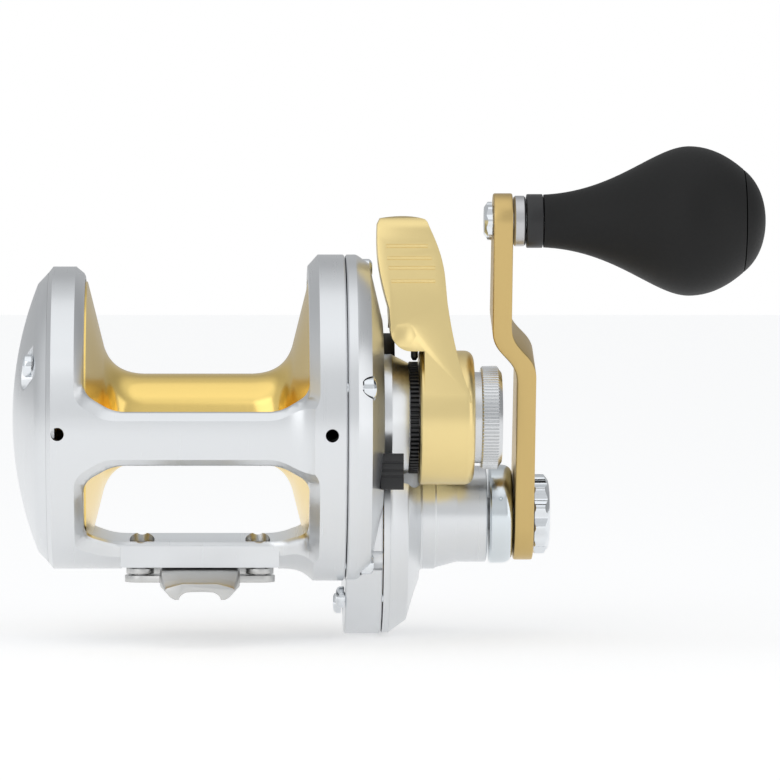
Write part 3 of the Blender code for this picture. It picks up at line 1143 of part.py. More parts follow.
def make_knob(knob_axis):
    radius, head, height = SPINDLE
    seat, end = TIP_LEFT - CLEARANCE, GRIP_RIGHT - 4.9 * MM
    profile = [
        (seat - height, 0), (seat - height, head - 0.9 * MM), (seat - 0.5 * height, head), (seat, head),
        (seat, radius), (end - 2.7 * MM, radius), (end - 2.7 * MM, radius + 2 * MM),
        (end, radius + 2 * MM), (end, 0),
    ]
    add("knob_spindle", turned(profile), "chrome", knob_axis)
    bore = radius + CLEARANCE
    outer, width = KNOB_WASHER
    edge = 0.6 * MM
    profile = [
        (WASHER_X, outer - edge), (WASHER_X + edge, outer), (WASHER_X + width - edge, outer),
        (WASHER_X + width, outer - edge), (WASHER_X + width, bore), (WASHER_X, bore),
    ]
    add("knob_washer", turned(profile, SMALL_ROUND), "steel", knob_axis)
    outer, width = KNOB_COLLAR
    add("knob_collar", tube(COLLAR_X, COLLAR_X + width, outer, bore), "black", knob_axis)
    neck, widest, mouth = KNOB_RADII
    middle = GRIP_LEFT + KNOB_WIDEST * KNOB_LENGTH
    rise = middle - GRIP_LEFT
    fall = GRIP_RIGHT - middle
    swell = curve(
        (GRIP_LEFT, neck), (GRIP_LEFT + 0.5 * rise, neck + 0.8 * MM),
        (middle - 0.24 * rise, widest), (middle, widest), 7,
    )
    swell += curve(
        (middle, widest), (middle + 0.4 * fall, widest),
        (GRIP_RIGHT - 0.27 * fall, mouth + 3.1 * MM), (GRIP_RIGHT, mouth), 4,
    )[1:]
    seat = GRIP_RIGHT - 7.9 * MM
    inside = radius + 7 * MM
    profile = swell + [(GRIP_RIGHT, inside), (seat, inside), (seat, bore), (GRIP_LEFT, bore)]
    add("knob_grip", turned(profile, MEDIUM_ROUND), "rubber", knob_axis)
    lip = mouth - 0.3 * MM
    dome = curve(
        (CAP_LEFT, lip), (CAP_LEFT + 3.4 * MM, lip - 2.6 * MM), (CAP_LEFT + CAP_HEIGHT, 5.5 * MM),
        (CAP_LEFT + CAP_HEIGHT, 0), 5,
    )
    plug = GRIP_RIGHT - 4.4 * MM
    profile = dome + [(plug, 0), (plug, inside - CLEARANCE), (CAP_LEFT, inside - CLEARANCE)]
    add("knob_cap", turned(profile, MEDIUM_ROUND), "black", knob_axis)


# ---------------------------------------------------------------- assembly

for old in list(bpy.data.objects):
    bpy.data.objects.remove(old)
materials = {finish: make_material(finish) for finish in FINISHES}

spool_axis = axis_empty("spool_axis", (0, 0, AXIS_HEIGHT))
drive_axis = axis_empty("drive_axis", (0, DRIVE_FORWARD, AXIS_HEIGHT - DRIVE_DROP))
handle_axis = axis_empty("handle_axis", (0, 0, 0), drive_axis, HANDLE_LEAN)
knob_axis = axis_empty("knob_axis", (0, 0, ARM_LENGTH), handle_axis)
clicker_axis = axis_empty("clicker_axis", (0, *polar(CLICKER_OFF_RADIUS, CLICKER_ANGLE)), spool_axis)
dog_place = polar(DOG_CIRCLE, DOG_ANGLE)
dog_axis = axis_empty("dog_axis", (0, *dog_place), drive_axis)

make_frame(spool_axis)
make_foot(spool_axis)
make_left_cover(spool_axis)
make_clicker(clicker_axis)
make_spool(spool_axis)
make_shaft(spool_axis)
make_side_plate(spool_axis, drive_axis)
make_gear_cover(spool_axis, drive_axis)
make_gears(spool_axis, drive_axis, degrees(atan2(DRIVE_FORWARD, -DRIVE_DROP)))
make_dog(dog_axis, drive_axis, dog_place)
make_lever(spool_axis)
make_stops(spool_axis)
make_preset(spool_axis)
make_handle(handle_axis)
make_knob(knob_axis)
bpy.context.view_layer.update()
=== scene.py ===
"""Looks for the lever-drag trolling reel: finer pieces, finishes, light and camera round the frame.

Everything is in the part's frame, in metres: +X along the spool's axis towards the handle,
+Y forward and +Z up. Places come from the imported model's boxes and joints.
"""

import json
from math import asin, cos, degrees, hypot, pi, radians, sin, sqrt

import bmesh
import bpy
from mathutils import Matrix, Vector


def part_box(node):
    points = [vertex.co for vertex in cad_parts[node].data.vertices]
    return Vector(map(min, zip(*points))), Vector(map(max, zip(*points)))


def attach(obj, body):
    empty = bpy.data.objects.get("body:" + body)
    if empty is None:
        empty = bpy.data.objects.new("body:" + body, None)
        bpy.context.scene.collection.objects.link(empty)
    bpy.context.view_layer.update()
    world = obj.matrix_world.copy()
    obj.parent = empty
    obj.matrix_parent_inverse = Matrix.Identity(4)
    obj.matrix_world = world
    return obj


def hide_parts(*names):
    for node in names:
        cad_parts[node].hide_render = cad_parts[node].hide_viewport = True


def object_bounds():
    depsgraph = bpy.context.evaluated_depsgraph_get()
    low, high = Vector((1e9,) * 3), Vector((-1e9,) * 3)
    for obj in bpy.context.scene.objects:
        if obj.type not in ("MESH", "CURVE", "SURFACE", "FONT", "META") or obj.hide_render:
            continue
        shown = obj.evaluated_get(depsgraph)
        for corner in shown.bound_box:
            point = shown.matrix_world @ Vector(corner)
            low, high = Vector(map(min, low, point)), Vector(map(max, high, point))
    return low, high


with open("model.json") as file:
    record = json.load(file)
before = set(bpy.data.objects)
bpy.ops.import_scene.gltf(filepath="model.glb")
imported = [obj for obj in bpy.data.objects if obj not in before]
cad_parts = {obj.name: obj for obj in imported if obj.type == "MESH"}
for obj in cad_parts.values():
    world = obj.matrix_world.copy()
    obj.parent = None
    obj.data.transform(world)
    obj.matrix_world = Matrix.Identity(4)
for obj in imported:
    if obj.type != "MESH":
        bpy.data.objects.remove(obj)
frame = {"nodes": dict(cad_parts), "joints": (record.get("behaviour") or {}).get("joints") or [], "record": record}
cad_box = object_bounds()

MM = 0.001
FRAME_SIDES = 180             # sides of the frame, which its windows follow
FINE = 160                    # sides of the large round pieces
ROUND = 96                    # sides of the middling ones
SMALL = 40                    # sides of screws and bores
GRAIN_DEPTH = 0.02 * MM

joint_places = {joint["name"]: Vector(joint.get("pos_m", (0, 0, 0))) for joint in frame["joints"]}
SPOOL_AXIS = joint_places["spool_spin"]
DRIVE_AXIS = joint_places["handle_crank"]
KNOB_AXIS = joint_places["knob_spin"]
ARM = KNOB_AXIS - DRIVE_AXIS
ARM_LEAN = degrees(asin(-ARM.y / ARM.length))


def x_range(node):
    low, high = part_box(node)
    return low[0], high[0]


def reach(node, centre=SPOOL_AXIS):
    """Largest distance of a node's box from an axis, forward or up."""
    low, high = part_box(node)
    return max(abs(low[1] - centre.y), abs(high[1] - centre.y), abs(high[2] - centre.z))


# ---------------------------------------------------------------- finishes

def new_material(name, colour, metallic, roughness):
    material = bpy.data.materials.new(name)
    material.use_nodes = True
    shader = material.node_tree.nodes["Principled BSDF"]
    shader.inputs["Base Color"].default_value = (*colour, 1.0)
    shader.inputs["Metallic"].default_value = metallic
    shader.inputs["Roughness"].default_value = roughness
    return material


def grain(material, scale, stretch, roughness, bump):
    """Adds a fine grain: stretch is the object-space scale of the noise along each axis."""
    nodes, links = material.node_tree.nodes, material.node_tree.links
    shader = nodes["Principled BSDF"]
    place = nodes.new("ShaderNodeTexCoord")
    mapping = nodes.new("ShaderNodeMapping")
    mapping.inputs["Scale"].default_value = stretch
    noise = nodes.new("ShaderNodeTexNoise")
    noise.inputs["Scale"].default_value = scale
    noise.inputs["Detail"].default_value = 3.0
    spread = nodes.new("ShaderNodeMapRange")
    spread.inputs["To Min"].default_value = roughness[0]
    spread.inputs["To Max"].default_value = roughness[1]
    links.new(place.outputs["Object"], mapping.inputs["Vector"])
    links.new(mapping.outputs["Vector"], noise.inputs["Vector"])
    links.new(noise.outputs["Fac"], spread.inputs["Value"])
    links.new(spread.outputs["Result"], shader.inputs["Roughness"])
    relief = nodes.new("ShaderNodeBump")
    relief.inputs["Strength"].default_value = bump
    relief.inputs["Distance"].default_value = GRAIN_DEPTH
    links.new(noise.outputs["Fac"], relief.inputs["Height"])
    links.new(relief.outputs["Normal"], shader.inputs["Normal"])


TURNED = (2600.0, 40.0, 40.0)         # fine lines round the X axis
EVEN = (1.0, 1.0, 1.0)

looks = {
    "silver": new_material("silver_satin", (0.75, 0.765, 0.78), 1.0, 0.30),
    "gold": new_material("gold_polished", (0.90, 0.66, 0.22), 1.0, 0.2),
    "lever_gold": new_material("gold_satin", (0.86, 0.69, 0.33), 1.0, 0.34),
    "arm_gold": new_material("gold_matt", (0.63, 0.46, 0.19), 1.0, 0.36),
    "chrome": new_material("chrome", (0.80, 0.83, 0.86), 1.0, 0.11),
    "collar": new_material("collar_steel", (0.72, 0.77, 0.80), 1.0, 0.2),
    "steel": new_material("steel", (0.56, 0.56, 0.57), 1.0, 0.3),
    "foot_grey": new_material("foot_satin", (0.60, 0.60, 0.59), 1.0, 0.36),
    "brass": new_material("brass", (0.78, 0.60, 0.30), 1.0, 0.28),
    "black": new_material("black_plastic", (0.012, 0.012, 0.013), 0.0, 0.4),
    "rubber": new_material("knob_rubber", (0.008, 0.008, 0.008), 0.0, 0.6),
    "carbon": new_material("carbon", (0.06, 0.06, 0.065), 0.0, 0.6),
    "knurl": new_material("knurled_silver", (0.70, 0.71, 0.72), 1.0, 0.24),
}
for name, scale, stretch, roughness, bump in (
    ("silver", 1.0, TURNED, (0.25, 0.33), 0.10),
    ("gold", 1.0, TURNED, (0.16, 0.24), 0.06),
    ("lever_gold", 900.0, EVEN, (0.30, 0.38), 0.05),
    ("arm_gold", 900.0, EVEN, (0.32, 0.42), 0.05),
    ("collar", 1.0, TURNED, (0.14, 0.24), 0.10),
    ("steel", 1.0, TURNED, (0.26, 0.38), 0.10),
    ("foot_grey", 700.0, EVEN, (0.32, 0.42), 0.10),
    ("black", 900.0, EVEN, (0.32, 0.46), 0.06),
    ("rubber", 1400.0, EVEN, (0.50, 0.62), 0.12),
):
    grain(looks[name], scale, stretch, roughness, bump)
looks["rubber"].node_tree.nodes["Principled BSDF"].inputs["Specular IOR Level"].default_value = 0.25

body_of = {node: body for body, nodes in frame["record"]["behaviour"]["bodies"].items() for node in nodes}
slot_of = {row["node"]: row["material_slot"] for row in frame["record"]["subparts"]}
for name, slot_name in slot_of.items():
    for slot in frame["nodes"][name].material_slots:
        slot.material = looks[slot_name]

# ---------------------------------------------------------------- outlines


def arc(centre, radius, start, end, steps):
    """Points on a circle from one angle to another, in degrees from the first axis."""
    angles = [radians(start + (end - start) * i / steps) for i in range(steps + 1)]
    return [(centre[0] + radius * cos(a), centre[1] + radius * sin(a)) for a in angles]


def curve(p0, p1, p2, p3, steps):
    """Points on a cubic Bezier curve."""
    points = []
    for i in range(steps + 1):
        t = i / steps
        weights = ((1 - t) ** 3, 3 * t * (1 - t) ** 2, 3 * t * t * (1 - t), t ** 3)
        points.append(tuple(
            sum(w * p[axis] for w, p in zip(weights, (p0, p1, p2, p3))) for axis in (0, 1)
        ))
    return points


def rounded(corners, radius, steps=8):
    """A polygon with each corner turned into a curve; radius is one value or one per corner."""
    points = []
    count = len(corners)
    sizes = radius if isinstance(radius, (list, tuple)) else [radius] * count
    for i, corner in enumerate(corners):
        before, after = corners[i - 1], corners[(i + 1) % count]
        if sizes[i] <= 0:
            points.append(tuple(corner))
            continue
        ends = []
        for other in (before, after):
            length = hypot(other[0] - corner[0], other[1] - corner[1])
            reach_share = min(sizes[i], 0.47 * length) / length
            ends.append([corner[k] + (other[k] - corner[k]) * reach_share for k in (0, 1)])
        for step in range(steps + 1):
            t = step / steps
            points.append(tuple(
                (1 - t) ** 2 * ends[0][k] + 2 * t * (1 - t) * corner[k] + t * t * ends[1][k]
                for k in (0, 1)
            ))
    return points


def polar(radius, angle):
    """(y, z) at a radius and an angle in degrees from straight up, forward positive."""
    return radius * sin(radians(angle)), radius * cos(radians(angle))


def ring_sector(inner, outer, start, end, steps=12):
    angles = [start + (end - start) * i / steps for i in range(steps + 1)]
    return [polar(outer, a) for a in angles] + [polar(inner, a) for a in reversed(angles)]


def toothed(teeth, root, tip, root_share, tip_share, phase=0.0):
    pitch = 360.0 / teeth
    points = []
    for tooth in range(teeth):
        middle = phase + tooth * pitch
        for radius, share in ((root, -root_share), (tip, -tip_share), (tip, tip_share), (root, root_share)):
            points.append(polar(radius, middle + share * pitch / 2))
    return points


# ---------------------------------------------------------------- solids

def closed(mesh):
    bmesh.ops.recalc_face_normals(mesh, faces=mesh.faces)
    if mesh.calc_volume(signed=True) < 0:
        bmesh.ops.reverse_faces(mesh, faces=mesh.faces)
    return mesh


def turned(profile, steps=ROUND):
    """Solid of revolution about X from a profile of (x, r) once round its outline."""
    mesh = bmesh.new()
    rings = []
    for x, radius in profile:
        if radius <= 0:
            rings.append([mesh.verts.new((x, 0, 0))])
        else:
            turns = [2 * pi * i / steps for i in range(steps)]
            rings.append([mesh.verts.new((x, radius * cos(a), radius * sin(a))) for a in turns])
    for ring, following in zip(rings, rings[1:] + rings[:1]):
        for i in range(steps):
            j = (i + 1) % steps
            if len(ring) > 1 and len(following) > 1:
                mesh.faces.new((ring[i], ring[j], following[j], following[i]))
            elif len(ring) > 1:
                mesh.faces.new((ring[i], ring[j], following[0]))
            elif len(following) > 1:
                mesh.faces.new((ring[0], following[j], following[i]))
    return closed(mesh)


def soft_profile(profile, radius, steps=3):
    """A turned profile with its corners eased, apart from those on the axis."""
    sizes = [0.0 if point[1] <= 0 else radius for point in profile]
    return rounded(profile, sizes, steps)


def loft(sections):
    mesh = bmesh.new()
    rings = [[mesh.verts.new(point) for point in section] for section in sections]
    count = len(rings[0])
    for ring, following in zip(rings, rings[1:]):
        for i in range(count):
            j = (i + 1) % count
            mesh.faces.new((ring[i], ring[j], following[j], following[i]))
    mesh.faces.new(rings[0])
    mesh.faces.new(rings[-1])
    return closed(mesh)


def prism(outline, low, high, axis):
    place = {
        "X": lambda p, level: (level, p[0], p[1]),
        "Y": lambda p, level: (p[0], level, p[1]),
        "Z": lambda p, level: (p[0], p[1], level),
    }[axis]
    return loft([[place(point, level) for point in outline] for level in (low, high)])


def rod(left, right, radius, steps=SMALL):
    return turned([(left, 0), (left, radius), (right, radius), (right, 0)], steps)


def box(low, high):
    outline = [(low[0], low[1]), (high[0], low[1]), (high[0], high[1]), (low[0], high[1])]
    return prism(outline, low[2], high[2], "Z")


def moved(mesh, x=0.0, y=0.0, z=0.0, turn=0.0, axis="X"):
    matrix = Matrix.Translation((x, y, z)) @ Matrix.Rotation(radians(turn), 4, axis)
    bmesh.ops.transform(mesh, matrix=matrix, verts=mesh.verts)
    return mesh


def upright(mesh):
    """Turns a solid made about X so that its left end is at the top and it runs down along Z."""
    return moved(mesh, turn=90, axis="Y")


def group(meshes):
    whole = bmesh.new()
    for part in meshes:
        data = bpy.data.meshes.new("part")
        part.to_mesh(data)
        part.free()
        whole.from_mesh(data)
        bpy.data.meshes.remove(data)
    return whole


# ---------------------------------------------------------------- pieces

def raw(name, mesh, location=(0, 0, 0), lean=0.0):
    data = bpy.data.meshes.new(name)
    mesh.to_mesh(data)
    mesh.free()
    obj = bpy.data.objects.new(name, data)
    bpy.context.scene.collection.objects.link(obj)
    obj.location = location
    obj.rotation_euler = (radians(lean), 0, 0)
    return obj


def carved(obj, steps):
    """Cuts, joins or intersects helper solids, then leaves one plain mesh."""
    helpers = []
    for operation, mesh, location in steps:
        helper = raw(obj.name + "_helper", mesh, location)
        helpers.append(helper)
        modifier = obj.modifiers.new("Boolean", "BOOLEAN")
        modifier.operation = operation
        modifier.solver = "EXACT"
        modifier.object = helper
        obj.modifiers.new("Weld", "WELD").merge_threshold = 0.002 * MM
    bpy.context.view_layer.update()
    depsgraph = bpy.context.evaluated_depsgraph_get()
    data = bpy.data.meshes.new_from_object(obj.evaluated_get(depsgraph))
    obj.modifiers.clear()
    obj.data = data
    for helper in helpers:
        bpy.data.objects.remove(helper)
    return obj


def baked(obj):
    """Leaves the object's modifiers as one plain mesh."""
    bpy.context.view_layer.update()
    depsgraph = bpy.context.evaluated_depsgraph_get()
    data = bpy.data.meshes.new_from_object(obj.evaluated_get(depsgraph))
    obj.modifiers.clear()
    obj.data = data


def lifted(obj):
    """Takes an object's mesh out of the scene as a helper solid."""
    mesh = bmesh.new()
    mesh.from_mesh(obj.data)
    bpy.data.objects.remove(obj)
    return mesh


def finished(obj, look, node, bevel=0.0, segments=2, sharp=32.0, angle=35.0):
    """Shades a piece, gives it its finish, and puts it in the place of a CAD node."""
    obj.data.materials.clear()
    obj.data.materials.append(looks[look])
    if bevel:
        modifier = obj.modifiers.new("Bevel", "BEVEL")
        modifier.width = bevel
        modifier.segments = segments
        modifier.limit_method = "ANGLE"
        modifier.angle_limit = radians(angle)
        modifier.use_clamp_overlap = True
        baked(obj)
    obj.data.shade_smooth()
    obj.data.set_sharp_from_angle(angle=radians(sharp))
    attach(obj, body_of[node])
    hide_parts(node)
    return obj


def lathe(name, profile, look, node, axis=SPOOL_AXIS, steps=FINE, ease=0.0, sharp=32.0):
    """A turned piece in the place of a CAD node; ease rounds its corners."""
    outline = soft_profile(profile, ease) if ease else profile
    return finished(raw(name, turned(outline, steps), axis), look, node, sharp=sharp)


# ---------------------------------------------------------------- sizes from the frame

def centre_of(node):
    low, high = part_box(node)
    return (Vector(low) + Vector(high)) / 2


GAP = 0.3 * MM                # between pieces of the frame that touch
SPOOL_RADIUS = reach("spool")
FRAME_BORE = SPOOL_RADIUS + 0.6 * MM
BAR_RADIUS = reach("left_cover")
RING_RADIUS = reach("reel_frame")
FRAME_LEFT, FRAME_RIGHT = x_range("reel_frame")
SPOOL_LEFT, SPOOL_RIGHT = x_range("spool")
RIM_THICKNESS = 1.25 * MM
RIM_RIGHT = SPOOL_RIGHT - RIM_THICKNESS
SPOOL_WIDTH = 55.1 * MM
RIM_LEFT = RIM_RIGHT - SPOOL_WIDTH
WINDOW_LEFT = RIM_LEFT - 0.5 * MM
WINDOW_RIGHT = RIM_RIGHT - 0.2 * MM
WINDOW_CORNER = (7.3 * MM, 4.7 * MM)
RING_BEVEL = 2.6 * MM
FLARE_LENGTH = 8.6 * MM
WEB_THICKNESS = 2.0 * MM
WEB_RADIUS = 24.0 * MM
REAR_BAR = (-107.0, -85.3)    # degrees from straight up, rearwards is negative
BOTTOM_BAR_HALF = 30.0        # degrees to each side of straight down
PAD_HALF = (19.6 * MM, 17.8 * MM)
FOOT_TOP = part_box("foot_spacer_1")[1][2] - SPOOL_AXIS.z
PAD_LEVEL = FOOT_TOP + GAP
SEAT_LEVEL = -SPOOL_AXIS.z
HEAD_SEAT = PAD_LEVEL + 2.2 * MM
DRAIN_RADIUS = 1.63 * MM
DRAIN_ANGLE = -93.8

COVER_TOP, COVER_RIM = x_range("left_cover")
DOME_RADIUS = 90.0 * MM
CLICKER_ANGLE = -62.0
CLICKER_TRAVEL = 3.2 * MM

PLATE_LEFT = FRAME_RIGHT + GAP
PLATE_RIGHT = x_range("gear_cover")[0] - GAP
PLATE_CONE = (38.5 * MM, 25.0 * MM, 3.3 * MM)    # the cone's two radii, and its height
LOBE_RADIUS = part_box("gear_cover")[1][1] - DRIVE_AXIS.y
LOBE_WALL = 4.4 * MM
PLATE_SCREWS = [centre_of(f"side_plate_screw_{n}") - SPOOL_AXIS for n in (1, 2, 3, 4)]
COVER_SCREWS = [centre_of(f"gear_cover_screw_{n}") - SPOOL_AXIS for n in (1, 2)]

BEARING_BORE = 8.3 * MM       # radius of the seats of all the bearings
FOOT_SCREW_HOLE = 2.1 * MM
DRIVE_BORE = 4.3 * MM         # of the pieces on the drive shaft's end
KNOB_BORE = 2.8 * MM          # of the pieces on the knob's spindle
HUB_RADIUS = 16.75 * MM       # the drag lever's hub
FREE_ANGLE = 81.0             # how far the lever turns back to free spool, in degrees
LEVER_ROOT = 16.6 * MM
LEVER_TIP = (4.5 * MM, 46.0 * MM)    # its radius, and its distance from the hub's axis
LEVER_SLOPE = asin((LEVER_ROOT - LEVER_TIP[0]) / LEVER_TIP[1])


# ---------------------------------------------------------------- frame, covers and foot

def wrapped_window(start, end):
    """Cutter for a window in the frame, flared outwards, bent round the spool's axis."""
    levels = [
        (FRAME_BORE - 4 * MM, 0.0, 0.0),
        (FRAME_BORE + 0.8 * MM, 0.0, 0.0),
        (FRAME_BORE + 1.5 * MM, 0.35 * MM, 0.0),
        (BAR_RADIUS + 0.2 * MM, RING_BEVEL, 0.0),
        (RING_RADIUS + 2 * MM, RING_BEVEL + 2 * MM, RING_BEVEL + 1.7 * MM),
    ]
    low, high = radians(start) * BAR_RADIUS, radians(end) * BAR_RADIUS
    across, along = WINDOW_CORNER
    sections = []
    for radius, grow, right_grow in levels:
        left, right = WINDOW_LEFT - grow, WINDOW_RIGHT + right_grow
        bottom, top = low - grow, high + grow
        corners = [
            (left, bottom + along), (left + across, bottom), (right - across, bottom),
            (right, bottom + along), (right, top - along), (right - across, top),
            (left + across, top), (left, top - along),
        ]
        sections.append([(x, s, radius) for x, s in rounded(corners, 3 * MM, 6)])
    mesh = loft(sections)
    step = 2 * pi / FRAME_SIDES * BAR_RADIUS
    first, last = int(low / step) - 4, int(high / step) + 4
    for i in range(first, last + 1):
        everything = mesh.verts[:] + mesh.edges[:] + mesh.faces[:]
        bmesh.ops.bisect_plane(mesh, geom=everything, plane_co=(0, i * step, 0), plane_no=(0, 1, 0))
    bmesh.ops.triangulate(mesh, faces=mesh.faces)
    for vertex in mesh.verts:
        x, s, radius = vertex.co
        angle = s / BAR_RADIUS
        vertex.co = (x, radius * sin(angle), radius * cos(angle))
    return closed(mesh)


def make_frame():
    flare = curve(
        (WINDOW_RIGHT - FLARE_LENGTH + 1 * MM, BAR_RADIUS),
        (WINDOW_RIGHT - 3.5 * MM, BAR_RADIUS),
        (WINDOW_RIGHT - 1.5 * MM, BAR_RADIUS + 0.2 * MM),
        (WINDOW_RIGHT + 1.2 * MM, RING_RADIUS), 16,
    )
    edge = 0.35 * MM
    profile = [
        (FRAME_LEFT, BAR_RADIUS - 1.4 * MM), (FRAME_LEFT + 1.1 * MM, BAR_RADIUS), *flare,
        (FRAME_RIGHT - edge, RING_RADIUS), (FRAME_RIGHT, RING_RADIUS - edge), (FRAME_RIGHT, FRAME_BORE),
        (FRAME_LEFT + WEB_THICKNESS, FRAME_BORE), (FRAME_LEFT + WEB_THICKNESS, WEB_RADIUS),
        (FRAME_LEFT, WEB_RADIUS),
    ]
    frame_piece = raw("frame_body", turned(profile, FRAME_SIDES), SPOOL_AXIS)
    x, y = PAD_HALF
    block = raw("pad_block", box((-x, -y, PAD_LEVEL), (x, y, PAD_LEVEL + 5.4 * MM)), SPOOL_AXIS)
    hollow = moved(rod(-x - 1 * MM, x + 1 * MM, FRAME_BORE + 0.02 * MM, FINE), turn=0.7)
    pad = lifted(carved(block, [("DIFFERENCE", hollow, SPOOL_AXIS)]))
    bottom = 180 - BOTTOM_BAR_HALF
    rear_low, rear_high = REAR_BAR
    drills = []
    for place in (WINDOW_LEFT - 6.3 * MM, WINDOW_RIGHT + 5.4 * MM):
        drill = upright(rod(FRAME_BORE - 1 * MM, RING_RADIUS + 2 * MM, DRAIN_RADIUS, 32))
        drills.append(moved(moved(drill, x=place), turn=180 - DRAIN_ANGLE))
    pockets = []
    shank, head = FOOT_SCREW_HOLE, 3.15 * MM
    top = HEAD_SEAT + 6 * MM
    end = PAD_LEVEL - 1 * MM
    for number in (1, 2, 3, 4):
        place = centre_of(f"foot_screw_{number}")
        hole = [
            (-top, 0), (-top, head), (-HEAD_SEAT, head), (-HEAD_SEAT, shank), (-end, shank), (-end, 0),
        ]
        pockets.append(moved(upright(turned(hole, SMALL)), x=place.x, y=place.y))
    carved(frame_piece, [
        ("DIFFERENCE", box((-x, -y, -BAR_RADIUS - 2 * MM), (x, y, PAD_LEVEL)), SPOOL_AXIS),
        ("DIFFERENCE", wrapped_window(rear_high, -rear_high), SPOOL_AXIS),
        ("DIFFERENCE", wrapped_window(-bottom, rear_low), SPOOL_AXIS),
        ("DIFFERENCE", wrapped_window(-rear_low, bottom), SPOOL_AXIS),
        ("UNION", pad, SPOOL_AXIS),
        ("DIFFERENCE", group(drills), SPOOL_AXIS),
        ("DIFFERENCE", group(pockets), SPOOL_AXIS),
    ])
    finished(frame_piece, "silver", "reel_frame", sharp=28)


def dome_x(radius):
    return COVER_TOP + DOME_RADIUS - sqrt(DOME_RADIUS ** 2 - radius ** 2)


def along_clicker(outline):
    """Turns (radius, side) points into (y, z) along the clicker's radius."""
    y, z = polar(1.0, CLICKER_ANGLE)
    return [(radius * y - side * z, radius * z + side * y) for radius, side in outline]


def make_left_cover():
    rim = BAR_RADIUS - 4.3 * MM
    dome = [(dome_x(rim * t / 24), rim * t / 24) for t in range(25)]
    right = FRAME_LEFT - 0.03 * MM
    profile = dome + [(right, BAR_RADIUS - 1.42 * MM), (right, 0)]
    cover = raw("left_cover_dome", turned(profile, FINE), SPOOL_AXIS)
    button = centre_of("clicker_button") - SPOOL_AXIS
    at = hypot(button.y, button.z)
    radius = 4.4 * MM
    floor = x_range("clicker_button")[1] + GAP
    slot = arc((at + 5 * MM, 0), radius, -90, 90, 24) + arc((at - CLICKER_TRAVEL, 0), radius, 90, 270, 24)
    stem = 1.1 * MM
    inner, outer = at - CLICKER_TRAVEL - stem, at + stem
    narrow = [(inner, -stem), (outer, -stem), (outer, stem), (inner, stem)]
    carved(cover, [
        ("DIFFERENCE", prism(along_clicker(slot), COVER_TOP - 2 * MM, floor, "X"), SPOOL_AXIS),
        ("DIFFERENCE", prism(along_clicker(narrow), floor - 1 * MM, COVER_RIM - 1 * MM, "X"), SPOOL_AXIS),
    ])
    finished(cover, "silver", "left_cover", bevel=0.18 * MM, sharp=30)
    low, high = x_range("clicker_button")
    size = reach("clicker_button", centre_of("clicker_button"))
    profile = [
        (low + 0.5 * MM, 0), (low + 0.3 * MM, 0.45 * size), (low, 0.55 * size), (low, size - 0.6 * MM),
        (low + 0.6 * MM, size), (high, size), (high, 0),
    ]
    place = centre_of("clicker_button")
    place.x = 0
    lathe("clicker_knob", profile, "chrome", "clicker_button", place, SMALL, ease=0.15 * MM)


def foot_section(y, half_width, top, shoulder, arch):
    """One section of the foot across the rod: the arch is the hollow's height over the seat."""
    bottom = SEAT_LEVEL - 1.0 * MM
    inner = half_width - 3.5 * MM
    rise = SEAT_LEVEL - bottom + arch
    hollow = [(inner * cos(radians(a)), bottom + rise * sin(radians(a))) for a in range(0, 91, 10)]
    edge = top - shoulder
    half = [
        (0.0, top), (0.5 * half_width, top), (half_width - 0.5 * MM, edge),
        (half_width, edge - 0.5 * MM), (half_width, min(bottom + 2.6 * MM, edge - 0.8 * MM)),
        (half_width - 2.4 * MM, bottom), *hollow,
    ]
    outline = half + [(-x, z) for x, z in reversed(half[1:-1])]
    return [(x, y, z) for x, z in outline]


